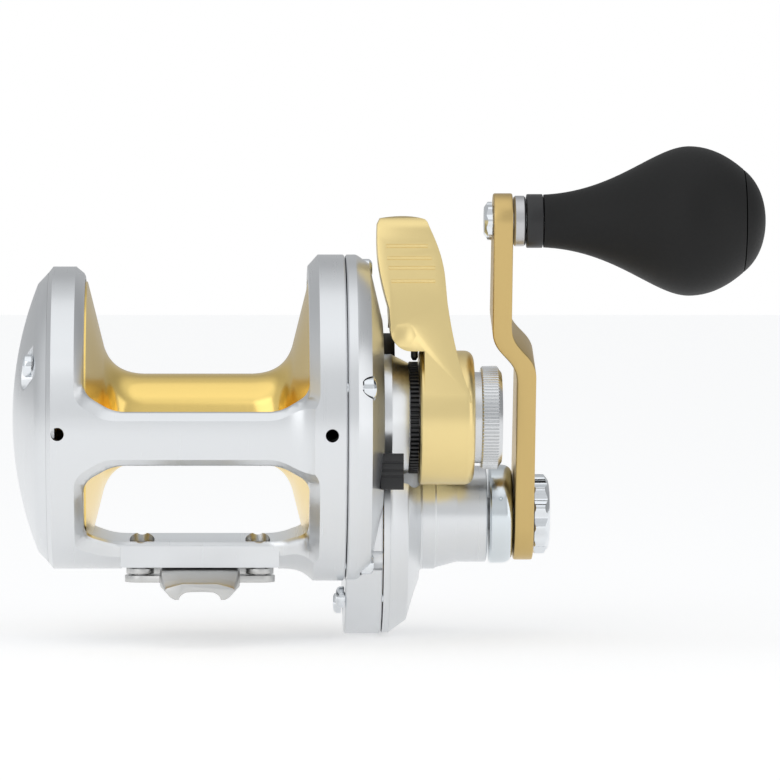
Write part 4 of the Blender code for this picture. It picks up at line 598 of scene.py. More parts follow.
def make_foot():
    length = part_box("reel_foot")[1][1]
    block = 17.0 * MM
    narrow, wide = 8.6 * MM, 9.9 * MM
    tip = 2.9 * MM
    sections = []
    for side in (-1, 1):
        run = []
        for step in range(9):
            t = step / 8
            y = length + (block - length) * t
            width = narrow + (wide - narrow) * sin(t * pi / 2)
            top = SEAT_LEVEL + tip + (FOOT_TOP - SEAT_LEVEL - tip) * t
            run.append(foot_section(side * y, width, top, 1.0 * MM * (1 - t), 1.4 * MM * (1 - t)))
        sections.append(run)
    foot = raw("foot_body", loft(sections[0] + sections[1][::-1]), SPOOL_AXIS)
    ear_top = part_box("foot_spacer_1")[0][2] - SPOOL_AXIS.z - GAP
    ear_low = ear_top - 1.7 * MM
    steps = []
    holes = []
    screw = centre_of("foot_screw_4")
    for side in (-1, 1):
        y = side * screw.y
        ears = arc((screw.x, y), 4.0 * MM, -90, 90, 20) + arc((-screw.x, y), 4.0 * MM, 90, 270, 20)
        steps.append(("UNION", prism(ears, ear_low, ear_top, "Z"), SPOOL_AXIS))
    for number in (1, 2, 3, 4):
        place = centre_of(f"foot_screw_{number}")
        hole = upright(rod(-ear_top - 1 * MM, -ear_low + 1 * MM, FOOT_SCREW_HOLE, SMALL))
        holes.append(moved(hole, x=place.x, y=place.y))
    steps.append(("DIFFERENCE", group(holes), SPOOL_AXIS))
    carved(foot, steps)
    finished(foot, "foot_grey", "reel_foot", bevel=0.25 * MM, sharp=35)
    for number in (1, 2, 3, 4):
        low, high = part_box(f"foot_screw_{number}")
        place = centre_of(f"foot_screw_{number}")
        top, end = high[2], low[2]
        head, shank = 3.05 * MM, 1.8 * MM
        profile = [
            (-top, 0), (-top, head - 0.4 * MM), (-top + 0.4 * MM, head), (-top + 2.0 * MM, head),
            (-top + 2.0 * MM, shank), (-end, shank), (-end, 0),
        ]
        piece = raw(f"foot_bolt_{number}", upright(turned(profile, SMALL)), (place.x, place.y, 0))
        hexagon = [(1.7 * MM * cos(radians(a)), 1.7 * MM * sin(radians(a))) for a in range(0, 360, 60)]
        socket = prism(hexagon, top - 1.2 * MM, top + 1 * MM, "Z")
        carved(piece, [("DIFFERENCE", socket, (place.x, place.y, 0))])
        finished(piece, "steel", f"foot_screw_{number}", sharp=30)
        low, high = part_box(f"foot_spacer_{number}")
        profile = [
            (-high[2], 3.25 * MM), (-low[2], 3.25 * MM),
            (-low[2], FOOT_SCREW_HOLE), (-high[2], FOOT_SCREW_HOLE),
        ]
        spacer = raw(
            f"foot_spacer_ring_{number}", upright(turned(soft_profile(profile, 0.25 * MM), SMALL)),
            (place.x, place.y, 0),
        )
        finished(spacer, "foot_grey", f"foot_spacer_{number}")


# ---------------------------------------------------------------- spool

def make_spool():
    lean = (SPOOL_RADIUS - 17.8 * MM) * 0.25
    foot, arbor, blend = 17.8 * MM, 11.0 * MM, 10.0 * MM

    def flange(edge, side):
        return curve(
            (edge + side * lean, foot), (edge + side * (lean + 1.2 * MM), foot - 3.6 * MM),
            (edge + side * (lean + 3.6 * MM), arbor + 0.2 * MM), (edge + side * (lean + blend), arbor), 20,
        )

    bore = BEARING_BORE
    seat = RIM_RIGHT + 0.1 * MM
    recess = reach("drag_washer") + 0.9 * MM
    step = (SPOOL_LEFT + 2.9 * MM, bore + 1.2 * MM)
    profile = [
        (RIM_LEFT, SPOOL_RADIUS), *flange(RIM_LEFT, 1), *reversed(flange(RIM_RIGHT, -1)),
        (RIM_RIGHT, SPOOL_RADIUS),
        (SPOOL_RIGHT, SPOOL_RADIUS), (SPOOL_RIGHT, recess), (seat, recess), (seat, bore),
        (SPOOL_LEFT, bore),
        (SPOOL_LEFT, step[1]), step, (step[0], arbor - 0.2 * MM),
        (RIM_LEFT + 3.2 * MM, arbor + 1.3 * MM), (RIM_LEFT + lean - 2.3 * MM, foot),
        (RIM_LEFT - RIM_THICKNESS, SPOOL_RADIUS - 3.5 * MM), (RIM_LEFT - RIM_THICKNESS, SPOOL_RADIUS),
    ]
    lathe("spool_body", profile, "gold", "spool", steps=FINE, sharp=25)


# ---------------------------------------------------------------- right side

def plate_face(radius, offset=0.0):
    outer, inner, height = PLATE_CONE
    if radius <= inner:
        return PLATE_RIGHT + offset
    return PLATE_RIGHT - height * (radius - inner) / (outer - inner) + offset


def make_side_plate():
    rim = PLATE_LEFT + 2.8 * MM
    bore = BEARING_BORE
    spigot = FRAME_BORE - GAP
    edge = 0.35 * MM
    profile = [
        (PLATE_LEFT, RING_RADIUS - edge), (PLATE_LEFT + edge, RING_RADIUS), (rim - edge, RING_RADIUS),
        (rim + edge, RING_RADIUS - 0.9 * edge), (plate_face(PLATE_CONE[0]), PLATE_CONE[0]),
        (PLATE_RIGHT - 0.4 * MM, PLATE_CONE[1] + 1.2 * MM), (PLATE_RIGHT, PLATE_CONE[1] - 0.4 * MM),
        (PLATE_RIGHT, bore), (PLATE_LEFT + 1 * MM, bore), (PLATE_LEFT + 1 * MM, spigot - 2.6 * MM),
        (PLATE_LEFT - 2.3 * MM, spigot - 2.6 * MM), (PLATE_LEFT - 2.3 * MM, spigot), (PLATE_LEFT, spigot),
    ]
    plate = raw("side_plate_body", turned(profile, FINE), SPOOL_AXIS)
    lobe = [
        (PLATE_LEFT, 0), (PLATE_LEFT, LOBE_RADIUS - edge), (PLATE_LEFT + edge, LOBE_RADIUS),
        (PLATE_RIGHT - edge, LOBE_RADIUS), (PLATE_RIGHT + 0.02 * MM, LOBE_RADIUS - edge),
        (PLATE_RIGHT + 0.02 * MM, 0),
    ]
    chamber = rod(PLATE_RIGHT - 4.3 * MM, PLATE_RIGHT + 1 * MM, LOBE_RADIUS - LOBE_WALL, ROUND)
    seat = x_range("side_plate_screw_1")[1] - 3.1 * MM
    drills = []
    for place in PLATE_SCREWS:
        hole = [
            (PLATE_LEFT - 4 * MM, 0), (PLATE_LEFT - 4 * MM, 1.8 * MM), (seat - GAP, 1.8 * MM),
            (seat - GAP, 3.0 * MM), (PLATE_RIGHT + 1 * MM, 3.0 * MM), (PLATE_RIGHT + 1 * MM, 0),
        ]
        drills.append(moved(turned(hole, SMALL), y=place.y, z=place.z))
    for place in COVER_SCREWS:
        hole = rod(PLATE_LEFT - 1 * MM, PLATE_RIGHT + 1 * MM, 1.55 * MM, 24)
        drills.append(moved(hole, y=place.y, z=place.z))
    pocket = ring_sector(16.2 * MM, 24.6 * MM, 29.7, 50.8)
    carved(plate, [
        ("UNION", turned(lobe, FINE), DRIVE_AXIS),
        ("DIFFERENCE", chamber, DRIVE_AXIS),
        ("DIFFERENCE", rod(PLATE_LEFT, PLATE_RIGHT + 1 * MM, bore, ROUND), SPOOL_AXIS),
        ("DIFFERENCE", group(drills), SPOOL_AXIS),
        ("DIFFERENCE", prism(pocket, PLATE_RIGHT - 3.7 * MM, PLATE_RIGHT + 1 * MM, "X"), SPOOL_AXIS),
    ])
    finished(plate, "silver", "side_plate", sharp=11)
    for number in (1, 2, 3, 4):
        make_screw(f"plate_bolt_{number}", f"side_plate_screw_{number}", 1.5 * MM, 2.7 * MM, 3.1 * MM, 1)
    for number in (1, 2):
        make_screw(f"cover_bolt_{number}", f"gear_cover_screw_{number}", 1.25 * MM, 2.7 * MM, 2.0 * MM, -1)


def make_screw(name, node, shank, head, height, side):
    """A socket-head screw along X, its head to the right where side is 1 and to the left where it is -1."""
    low, high = x_range(node)
    place = centre_of(node)
    place.x = 0
    top, end = (high, low) if side > 0 else (low, high)
    seat = top - side * height
    profile = [
        (top - side * 0.25 * MM, 0), (top, 0.62 * head), (top - side * 0.3 * MM, 0.86 * head),
        (top - side * 0.8 * MM, head), (seat, head), (seat, shank), (end, shank), (end, 0),
    ]
    piece = raw(name, turned(profile, SMALL), place)
    hexagon = [polar(0.52 * head, a) for a in range(0, 360, 60)]
    socket = prism(hexagon, top - side * 0.5 * height, top + side * 1 * MM, "X")
    carved(piece, [("DIFFERENCE", socket, place)])
    finished(piece, "chrome", node, sharp=30)


def make_gear_cover():
    left, tube_right = x_range("gear_cover")
    top = left + 9.5 * MM
    foot, end = 13.9 * MM, 12.15 * MM
    dome = soft_profile([
        (left + 1.5 * MM, LOBE_RADIUS), (left + 2.0 * MM, LOBE_RADIUS - 0.5 * MM),
        (left + 6.2 * MM, LOBE_RADIUS - 3.5 * MM), (top - 1.3 * MM, LOBE_RADIUS - 10.2 * MM),
        (top, foot + 2.5 * MM),
    ], 0.4 * MM)
    edge = 0.3 * MM
    profile = [
        (left - 2 * MM, 0), (left - 2 * MM, LOBE_RADIUS), *dome, (top + 0.2 * MM, foot + 0.5 * MM),
        (top + 0.7 * MM, foot), (top + 3.8 * MM, foot), (top + 4.2 * MM, foot - 0.3 * MM),
        (top + 9.2 * MM, end + 0.1 * MM), (top + 9.6 * MM, end), (tube_right - edge, end),
        (tube_right, end - edge),
        (tube_right, 0),
    ]
    boss_right = x_range("detent_ring")[0] - 0.2 * MM
    ring_right = x_range("detent_ring")[1]
    boss = [
        (left - 1.7 * MM, 0), (left - 1.7 * MM, 15.9 * MM), (left + 1.9 * MM, 15.9 * MM),
        (left + 2.2 * MM, 15.7 * MM),
        (boss_right, 13.7 * MM), (boss_right, 12.0 * MM), (ring_right, 12.0 * MM), (ring_right, 0),
    ]
    hub_ring = reach("lever_cam") + 4.55 * MM + 0.8 * MM
    bore = 6.8 * MM
    seat = x_range("drive_bearing_right")[0] - GAP
    hole = [
        (left - 1 * MM, 0), (left - 1 * MM, LOBE_RADIUS - LOBE_WALL),
        (left + 1.3 * MM, LOBE_RADIUS - LOBE_WALL),
        (left + 1.3 * MM, bore), (seat, bore), (seat, BEARING_BORE),
        (tube_right + 1 * MM, BEARING_BORE), (tube_right + 1 * MM, 0),
    ]
    inner = [
        (left - 1 * MM, 0), (left - 1 * MM, BEARING_BORE), (left + 5.3 * MM, BEARING_BORE),
        (left + 5.3 * MM, 3.5 * MM),
        (ring_right + 1 * MM, 3.5 * MM), (ring_right + 1 * MM, 0),
    ]
    cover = raw("gear_cover_body", turned(profile, FINE), DRIVE_AXIS)
    carved(cover, [
        ("DIFFERENCE", rod(left + 2.4 * MM, top + 5 * MM, hub_ring, FINE), SPOOL_AXIS),
        ("UNION", turned(boss, FINE), SPOOL_AXIS),
        ("DIFFERENCE", box((left - 3 * MM, -60 * MM, -90 * MM), (left, 60 * MM, 30 * MM)), SPOOL_AXIS),
        ("DIFFERENCE", turned(inner, SMALL), SPOOL_AXIS),
        ("DIFFERENCE", turned(hole, ROUND), DRIVE_AXIS),
    ])
    finished(cover, "silver", "gear_cover", sharp=16)


def make_detents():
    left, right = x_range("detent_ring")
    radius = reach("detent_ring")
    outline = toothed(72, radius - 0.7 * MM, radius, 0.75, 0.4)
    ring = raw("notched_ring", prism(outline, left, right, "X"), SPOOL_AXIS)
    carved(ring, [("DIFFERENCE", rod(left - 1 * MM, right + 1 * MM, 12.3 * MM, ROUND), SPOOL_AXIS)])
    finished(ring, "black", "detent_ring")
    low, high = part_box("detent_plunger")
    place = centre_of("detent_plunger")
    radius = (high[0] - low[0]) / 2
    profile = [
        (-high[2], 0), (-high[2], radius), (-low[2] - 0.8 * MM, radius), (-low[2], 0.5 * radius),
        (-low[2], 0),
    ]
    pin = raw("detent_pin", upright(turned(soft_profile(profile, 0.1 * MM), 24)), (place.x, place.y, 0))
    finished(pin, "black", "detent_plunger")


def make_stops():
    low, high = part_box("free_stop")
    edge = radians(90 - FREE_ANGLE) + LEVER_SLOPE
    near, far, bottom = low[1], -16.0 * MM, low[2] - SPOOL_AXIS.z

    def lever_edge(y):
        return -(HUB_RADIUS + 0.4 * MM + y * sin(edge)) / cos(edge)

    outline = rounded([
        (near, lever_edge(near)), (near, bottom), (near + 11.5 * MM, bottom),
        (near + 12.5 * MM, -13.2 * MM),
        (far, lever_edge(far)),
    ], 0.7 * MM, 6)
    stop = raw("free_stop_block", prism(outline, low[0], high[0], "X"), SPOOL_AXIS)
    grooves = []
    for level in (-10.0 * MM, -11.9 * MM, -13.4 * MM):
        low_corner = (low[0] - 2 * MM, near - 1 * MM, level - 0.2 * MM)
        grooves.append(box(low_corner, (high[0] + 1 * MM, near + 0.25 * MM, level + 0.2 * MM)))
    carved(stop, [("DIFFERENCE", group(grooves), SPOOL_AXIS)])
    finished(stop, "black", "free_stop", bevel=0.15 * MM)
    low, high = x_range("strike_button")
    outline = rounded(ring_sector(16.6 * MM, 24.3 * MM, 30.7, 49.8, 10), 0.35 * MM, 2)
    block = raw("strike_block", prism(outline, low, high, "X"), SPOOL_AXIS)
    finished(block, "black", "strike_button", bevel=0.3 * MM, segments=3)


# ---------------------------------------------------------------- lever and preset knob

def lever_outline(hub_left, hub_right, hub_radius):
    """(x, z) outline of the lever's arm: it leaves the hub and steps in over the side plate."""
    left, right = hub_left, hub_right
    foot = hub_radius + 0.2 * MM
    bottom = 0.2 * hub_radius
    top = LEVER_TIP[0] + LEVER_TIP[1]
    outer = curve(
        (right - 0.9 * MM, bottom + 1.5 * MM), (right - 4.0 * MM, foot - 4 * MM),
        (right - 5.6 * MM, foot + 3 * MM), (right - 6.8 * MM, foot + 12 * MM), 20,
    )
    outer += curve(
        (right - 7.3 * MM, foot + 18 * MM), (right - 8 * MM, foot + 25 * MM),
        (right - 10.5 * MM, foot + 29 * MM), (right - 11.6 * MM, foot + 32 * MM), 14,
    )
    tip = curve(
        (right - 12.2 * MM, top - 0.9 * MM), (right - 15 * MM, top), (right - 19 * MM, top + 0.1 * MM),
        (right - 23.4 * MM, top - 0.7 * MM), 14,
    )
    inner = curve(
        (left - 10.5 * MM, top - 2.2 * MM), (left - 10.8 * MM, top - 9 * MM),
        (left - 10.4 * MM, top - 14 * MM), (left - 7.7 * MM, foot + 10.5 * MM), 16,
    )
    lobe = curve(
        (left - 7.4 * MM, foot + 6.5 * MM), (left - 7.8 * MM, foot + 3 * MM),
        (left - 5.4 * MM, foot - 0.2 * MM), (left - 2 * MM, foot), 16,
    )
    root = [(left + 1 * MM, foot), (left + 1 * MM, bottom)]
    return [(right - 0.9 * MM, bottom), *outer, *tip, *inner, *lobe, *root]


# height over the spool's axis and the two ends in x, in millimetres
GRIP_LINES = ((43.0, 46.4, 56.7), (40.0, 46.6, 57.6), (37.6, 46.9, 58.5), (34.3, 47.6, 58.5))


def make_lever():
    hub_left, hub_right = x_range("lever_cam")[0] - 0.5 * MM, x_range("drag_lever")[1]
    radius = HUB_RADIUS
    edge = 2.3 * MM
    corner = arc((hub_right - edge, radius - edge), edge, 90, 0, 10)
    profile = [
        (hub_left, 0), (hub_left, radius - 0.4 * MM), (hub_left + 0.4 * MM, radius), *corner,
        (hub_right, 0),
    ]
    slope = LEVER_SLOPE
    cap = arc((0, LEVER_TIP[1]), LEVER_TIP[0], degrees(slope), 180 - degrees(slope), 32)
    side, foot = LEVER_ROOT * cos(slope), LEVER_ROOT * sin(slope)
    tapered = [(side, foot), *cap, (-side, foot)]
    arm = raw("lever_arm_shape", prism(tapered, hub_left - 14 * MM, hub_right, "X"), SPOOL_AXIS)
    outline = lever_outline(hub_left, hub_right, radius)
    carved(arm, [("INTERSECT", prism(outline, -radius - 1 * MM, radius + 1 * MM, "Y"), SPOOL_AXIS)])
    modifier = arm.modifiers.new("Bevel", "BEVEL")
    modifier.width = 0.9 * MM
    modifier.segments = 4
    modifier.limit_method = "ANGLE"
    modifier.angle_limit = radians(50)
    baked(arm)
    joined = lifted(arm)
    stem, neck = 7.4 * MM, 11.8 * MM
    wall = (hub_right - 3.5 * MM, hub_right - 1.3 * MM)
    bore = [
        (hub_left - 1 * MM, 0), (hub_left - 1 * MM, 12.5 * MM), (wall[0], 12.5 * MM), (wall[0], stem),
        (wall[1], stem), (wall[1], neck), (hub_right + 1 * MM, neck), (hub_right + 1 * MM, 0),
    ]
    relief = [(0.0, 0.0)] + [polar(24.8 * MM, a) for a in range(0, 91, 5)]
    grips = []
    for level, start, end in GRIP_LINES:
        z = level * MM
        y = -(LEVER_ROOT - z * sin(slope)) / cos(slope)
        grips.append(moved(rod(start * MM, end * MM, 0.45 * MM, 16), y=y - 0.2 * MM, z=z))
    dimple_z = 23.0 * MM
    dimple_y = -(LEVER_ROOT - dimple_z * sin(slope)) / cos(slope)
    ball = bmesh.new()
    bmesh.ops.create_icosphere(ball, subdivisions=5, radius=8.0 * MM)
    grips.append(moved(ball, x=50.6 * MM, y=dimple_y - 7.65 * MM, z=dimple_z))
    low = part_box("detent_plunger")[0][2] - SPOOL_AXIS.z
    hole = upright(rod(-low - 6.3 * MM, -low - 1.0 * MM, 1.2 * MM, 24))
    moved(hole, x=centre_of("detent_plunger").x)
    lever = raw("lever_body", turned(profile, FINE), SPOOL_AXIS)
    carved(lever, [
        ("UNION", joined, SPOOL_AXIS),
        ("DIFFERENCE", turned(bore, ROUND), SPOOL_AXIS),
        ("DIFFERENCE", prism(relief, hub_left - 14 * MM, PLATE_RIGHT + 4.0 * MM, "X"), SPOOL_AXIS),
        ("DIFFERENCE", hole, SPOOL_AXIS),
        ("DIFFERENCE", group(grips), SPOOL_AXIS),
    ])
    finished(lever, "lever_gold", "drag_lever", sharp=30)


def make_preset():
    left, right = x_range("preset_knob")
    radius = 12.9 * MM
    knurl_left = right - 5.2 * MM
    outline = toothed(88, radius - 0.34 * MM, radius, 0.85, 0.4)
    knob = raw("preset_knob_body", prism(outline, knurl_left, right - 0.7 * MM, "X"), SPOOL_AXIS)
    neck_left = x_range("drag_lever")[1] - 0.4 * MM
    core = [
        (left, 0), (left, 7 * MM), (neck_left, 7 * MM), (neck_left, 11.1 * MM),
        (neck_left + 0.3 * MM, 11.4 * MM),
        (knurl_left + 0.2 * MM, 11.4 * MM), (knurl_left + 0.2 * MM, radius - 0.8 * MM),
        (right - 0.7 * MM, radius - 0.7 * MM),
        (right, radius - 1.6 * MM), (right, 0),
    ]
    chamfer = [
        (knurl_left - 2 * MM, 0), (knurl_left - 2 * MM, radius - 0.9 * MM), (knurl_left, radius - 0.5 * MM),
        (knurl_left + 0.6 * MM, radius + 0.2 * MM), (right - 1.3 * MM, radius + 0.2 * MM),
        (right, radius - 1.5 * MM), (right, 0),
    ]
    carved(knob, [
        ("INTERSECT", turned(chamfer, ROUND), SPOOL_AXIS),
        ("UNION", turned(core, ROUND), SPOOL_AXIS),
        ("DIFFERENCE", rod(left - 1 * MM, right - 2.2 * MM, 3.3 * MM, SMALL), SPOOL_AXIS),
    ])
    finished(knob, "knurl", "preset_knob", sharp=24)


# ---------------------------------------------------------------- handle and knob

def tilted(obj):
    """Leans a piece with the handle's arm."""
    obj.rotation_euler = (radians(ARM_LEAN), 0, 0)
    return obj


def make_arm():
    inner, outer = x_range("handle_nut")[0] - 5.1 * MM, x_range("handle_nut")[0] - 0.3 * MM
    length = ARM.length
    jog = 6.3 * MM
    low, high = 38.5 * MM, 52.0 * MM
    middle = (low + high) / 2
    base, tip = 11.6 * MM, 6.9 * MM

    def face(start_x, end_x, shift):
        bend = curve(
            (start_x, low + shift), (start_x, middle + shift), (end_x, middle + shift),
            (end_x, high + shift), 20,
        )
        return [(start_x, -base - 1 * MM), *bend, (end_x, length + tip + 1 * MM)]

    side = face(inner, inner - jog, 0.0) + face(outer, outer - jog, 1.2 * MM)[::-1]
    slope = degrees(asin((base - tip) / length))
    outline = arc((0, 0), base, 180 - slope, 360 + slope, 48)
    outline += arc((0, length), tip, slope, 180 - slope, 36)
    arm = raw("arm_plate", prism(outline, inner - jog - 1 * MM, outer + 1 * MM, "X"), DRIVE_AXIS)
    hole = moved(rod(inner - jog - 1 * MM, outer + 1 * MM, KNOB_BORE), z=length)
    carved(arm, [
        ("INTERSECT", prism(side, -base - 1 * MM, base + 1 * MM, "Y"), DRIVE_AXIS),
        ("DIFFERENCE", rod(inner - 1 * MM, outer + 1 * MM, DRIVE_BORE), DRIVE_AXIS),
        ("DIFFERENCE", hole, DRIVE_AXIS),
    ])
    finished(tilted(arm), "arm_gold", "handle_arm", bevel=0.45 * MM, segments=3, angle=45)


def make_handle():
    make_arm()
    left, right = x_range("handle_collar")
    radius = 12.45 * MM
    width = right - left
    outer = curve(
        (left + 0.55 * width, radius), (left + 0.8 * width, radius),
        (right, radius - 0.8 * MM), (right, radius - 2.6 * MM), 12,
    )
    profile = [
        (left, radius - 0.5 * MM), (left + 0.5 * MM, radius), *outer, (right, DRIVE_BORE),
        (left, DRIVE_BORE),
    ]
    collar = raw("collar_body", turned(profile, FINE), DRIVE_AXIS)
    pit = bmesh.new()
    bmesh.ops.create_icosphere(pit, subdivisions=3, radius=0.55 * MM)
    y, z = polar(radius, -69.0)
    carved(collar, [("DIFFERENCE", moved(pit, x=left + 0.45 * width, y=y, z=z), DRIVE_AXIS)])
    finished(collar, "collar", "handle_collar", sharp=30)
    low, high = x_range("handle_nut")
    radius = 10.2 * MM
    outline = []
    for tooth in range(12):
        for step in range(8):
            angle = (tooth + step / 8) * 30.0
            outline.append(polar(radius - 0.55 * MM + 0.5 * MM * cos(radians(12 * angle)), angle))
    nut = raw("nut_body", prism(outline, low, high, "X"), DRIVE_AXIS)
    shape = [
        (low - 1 * MM, 0), (low, radius - 0.5 * MM), (low + 0.5 * MM, radius + 0.2 * MM),
        (high - 1.6 * MM, radius + 0.2 * MM), (high - 0.3 * MM, radius - 1.6 * MM),
        (high, radius - 3.0 * MM),
        (high, 0),
    ]
    carved(nut, [
        ("INTERSECT", turned(shape, ROUND), DRIVE_AXIS),
        ("DIFFERENCE", rod(low - 2 * MM, high - 1.1 * MM, DRIVE_BORE), DRIVE_AXIS),
    ])
    finished(tilted(nut), "chrome", "handle_nut", sharp=35)
    low, high = x_range("drive_shaft")
    profile = [
        (low, 0), (low, 2.7 * MM), (low + 2.5 * MM, 2.7 * MM), (low + 2.5 * MM, 4 * MM), (high, 4 * MM),
        (high, 0),
    ]
    lathe("drive_shaft_body", profile, "steel", "drive_shaft", DRIVE_AXIS, SMALL)


def make_knob():
    left, right = x_range("knob_grip")
    neck, widest, mouth = 6.6 * MM, 18.6 * MM, 13.0 * MM
    middle = left + 0.73 * (right - left)
    rise, fall = middle - left, right - middle
    swell = curve(
        (left, neck), (left + 0.5 * rise, neck + 0.8 * MM), (middle - 0.24 * rise, widest),
        (middle, widest), 40,
    )
    swell += curve(
        (middle, widest), (middle + 0.4 * fall, widest), (right - 0.27 * fall, mouth + 3.1 * MM),
        (right, mouth), 24,
    )[1:]
    inside, bore = 9.5 * MM, KNOB_BORE
    seat = right - 7.9 * MM
    profile = swell + [(right, inside), (seat, inside), (seat, bore), (left, bore)]
    lathe("knob_body", profile, "rubber", "knob_grip", KNOB_AXIS, ROUND)
    low, high = x_range("knob_cap")
    lip = mouth - 0.3 * MM
    cap_left = right + GAP
    rise = high - cap_left
    dome = curve((cap_left, lip), (cap_left + 0.63 * rise, lip - 2.6 * MM), (high, 5.5 * MM), (high, 0), 24)
    profile = dome + [(low, 0), (low, inside - GAP), (cap_left, inside - GAP)]
    lathe("knob_end", profile, "rubber", "knob_cap", KNOB_AXIS, ROUND)
    low, high = x_range("knob_collar")
    radius = 6.7 * MM
    profile = [(low, radius), (high, radius), (high, bore), (low, bore)]
    lathe("knob_collar_ring", profile, "black", "knob_collar", KNOB_AXIS, ROUND, ease=0.3 * MM)
    low, high = x_range("knob_washer")
    radius = 6.3 * MM
    profile = [
        (low, radius - 0.4 * MM), (low + 0.4 * MM, radius), (high - 0.4 * MM, radius),
        (high, radius - 0.4 * MM),
        (high, bore), (low, bore),
    ]
    lathe("knob_washer_ring", profile, "steel", "knob_washer", KNOB_AXIS, ROUND)
    low, high = x_range("knob_spindle")
    shank, head, height = 2.5 * MM, 4.8 * MM, 1.9 * MM
    outline = []
    for step in range(96):
        angle = step * 360 / 96
        outline.append(polar(head - 0.3 * MM + 0.28 * MM * cos(radians(8 * angle)), angle))
    spindle = raw("spindle_body", prism(outline, low, low + height, "X"), KNOB_AXIS)
    core = [
        (low + 0.5 * height, 0), (low + 0.5 * height, shank), (high - 2.7 * MM, shank),
        (high - 2.7 * MM, shank + 2 * MM),
        (high, shank + 2 * MM), (high, 0),
    ]
    shape = [
        (low, 0), (low, head - 1.3 * MM), (low + 0.5 * height, head + 0.1 * MM),
        (low + height, head + 0.1 * MM), (low + height, 0),
    ]
    carved(spindle, [
        ("INTERSECT", turned(shape, ROUND), KNOB_AXIS),
        ("UNION", turned(core, SMALL), KNOB_AXIS),
    ])
    finished(spindle, "chrome", "knob_spindle", sharp=30)


make_frame()
make_left_cover()
make_foot()
make_spool()
make_side_plate()
make_gear_cover()
make_detents()
make_stops()
make_lever()
make_preset()
make_handle()
make_knob()

# ---------------------------------------------------------------- camera, light and floor

VIEW_DISTANCE = 1.55
VIEW_ELEVATION = 2.5
VIEW_WIDTH = 195.0 * MM       # what the picture spans at the spool's axis
VIEW_SHIFT = (0.236, 0.0353)  # of the picture's middle, as shares of its width
VIEW_X = 1.5 * MM
SENSOR = 36.0
FLOOR_HALF = 3.0
SKY = (0.97, 0.985, 1.0)      # tint of the light all round
# share of the way from straight down to straight up, and the light's strength there
SKY_BANDS = (
    (0.0, 0.60), (0.36, 0.78), (0.47, 0.74), (0.54, 0.68),
    (0.66, 0.74), (0.84, 0.66), (0.93, 0.95), (1.0, 0.88),
)


def make_camera():
    data = bpy.data.cameras.new("camera")
    data.sensor_width = SENSOR
    data.lens = SENSOR * VIEW_DISTANCE / VIEW_WIDTH
    data.shift_x, data.shift_y = VIEW_SHIFT
    data.clip_start, data.clip_end = 0.05, 50.0
    camera = bpy.data.objects.new("camera", data)
    bpy.context.scene.collection.objects.link(camera)
    tilt = radians(VIEW_ELEVATION)
    camera.location = (VIEW_X, -VIEW_DISTANCE * cos(tilt), SPOOL_AXIS.z + VIEW_DISTANCE * sin(tilt))
    camera.rotation_euler = (pi / 2 - tilt, 0, 0)
    bpy.context.scene.camera = camera


def make_light(name, place, target, size, power):
    data = bpy.data.lights.new(name, "AREA")
    data.shape = "RECTANGLE"
    data.size, data.size_y = size
    data.energy = power
    light = bpy.data.objects.new(name, data)
    bpy.context.scene.collection.objects.link(light)
    light.location = place
    light.rotation_euler = (Vector(place) - Vector(target)).to_track_quat("Z", "Y").to_euler()


def ramp_colours(ramp, stops):
    elements = ramp.color_ramp.elements
    while len(elements) < len(stops):
        elements.new(0.5)
    for element, (place, colour) in zip(elements, stops):
        element.position = place
        element.color = (*colour, 1.0)


def faded(nodes, links, value, start, end, strengths):
    """A strength that runs from one value to another as a direction's part goes from start to end."""
    fade = nodes.new("ShaderNodeMapRange")
    fade.inputs["From Min"].default_value = start
    fade.inputs["From Max"].default_value = end
    fade.inputs["To Min"].default_value, fade.inputs["To Max"].default_value = strengths
    links.new(value, fade.inputs["Value"])
    return fade.outputs["Result"]


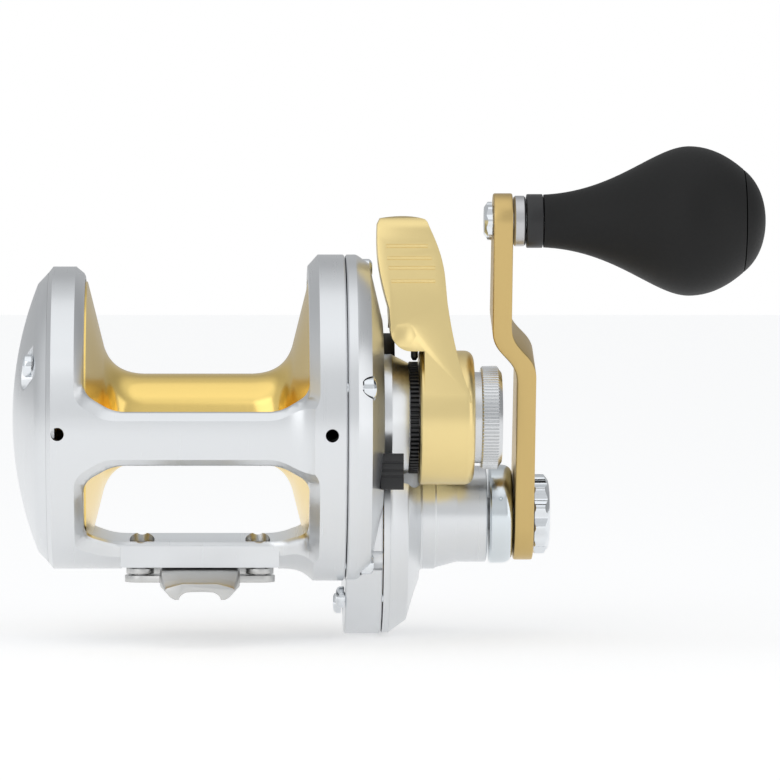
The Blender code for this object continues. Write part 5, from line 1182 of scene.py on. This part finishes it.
def make_world():
    """Light from all round in soft bands, dimmer to the front and to the right; the camera sees white."""
    world = bpy.data.worlds.new("studio")
    bpy.context.scene.world = world
    world.use_nodes = True
    nodes, links = world.node_tree.nodes, world.node_tree.links
    direction = nodes.new("ShaderNodeTexCoord")
    parts = nodes.new("ShaderNodeSeparateXYZ")
    links.new(direction.outputs["Generated"], parts.inputs["Vector"])
    bands = nodes.new("ShaderNodeValToRGB")
    ramp_colours(bands, [(place, tuple(part * s for part in SKY)) for place, s in SKY_BANDS])
    links.new(faded(nodes, links, parts.outputs["Z"], -1.0, 1.0, (0.0, 1.0)), bands.inputs["Fac"])
    both = nodes.new("ShaderNodeMath")
    both.operation = "MULTIPLY"
    links.new(faded(nodes, links, parts.outputs["Y"], 0.05, 0.5, (1.0, 0.72)), both.inputs[0])
    links.new(faded(nodes, links, parts.outputs["X"], 0.3, 1.0, (1.0, 0.6)), both.inputs[1])
    shade = nodes.new("ShaderNodeVectorMath")
    shade.operation = "SCALE"
    links.new(bands.outputs["Color"], shade.inputs[0])
    links.new(both.outputs["Value"], shade.inputs["Scale"])
    background = nodes["Background"]
    background.inputs["Strength"].default_value = 1.0
    links.new(shade.outputs["Vector"], background.inputs["Color"])
    seen = nodes.new("ShaderNodeBackground")
    seen.inputs["Color"].default_value = (1.0, 1.0, 1.0, 1.0)
    seen.inputs["Strength"].default_value = 1.0
    path = nodes.new("ShaderNodeLightPath")
    mix = nodes.new("ShaderNodeMixShader")
    links.new(path.outputs["Is Camera Ray"], mix.inputs["Fac"])
    links.new(background.outputs["Background"], mix.inputs[1])
    links.new(seen.outputs["Background"], mix.inputs[2])
    links.new(mix.outputs["Shader"], nodes["World Output"].inputs["Surface"])
    bpy.context.scene.view_settings.view_transform = "Standard"


def make_lights():
    sun = bpy.data.lights.new("overhead", "SUN")
    sun.energy = 0.2
    sun.angle = radians(70)
    overhead = bpy.data.objects.new("overhead", sun)
    bpy.context.scene.collection.objects.link(overhead)
    overhead.rotation_euler = (radians(18), radians(-10), 0)
    middle = (0.02, 0.0, 0.05)
    make_light("key", (-0.45, -0.80, 0.45), middle, (0.7, 0.9), 1.5)
    make_light("fill", (0.85, -0.45, 0.25), middle, (0.6, 0.9), 1.2)


def make_floor():
    """A pale floor just under the reel, which glows a little so that it fades into the white."""
    top = cad_box[0].z - 0.2 * MM
    floor = raw("floor", box((-FLOOR_HALF, -FLOOR_HALF, top - 1 * MM), (FLOOR_HALF, FLOOR_HALF, top)))
    white = new_material("floor", (0.72, 0.72, 0.72), 0.0, 0.9)
    shader = white.node_tree.nodes["Principled BSDF"]
    shader.inputs["Emission Color"].default_value = (1.0, 1.0, 1.0, 1.0)
    shader.inputs["Emission Strength"].default_value = 0.42
    floor.data.materials.append(white)


make_camera()
make_world()
make_lights()
make_floor()
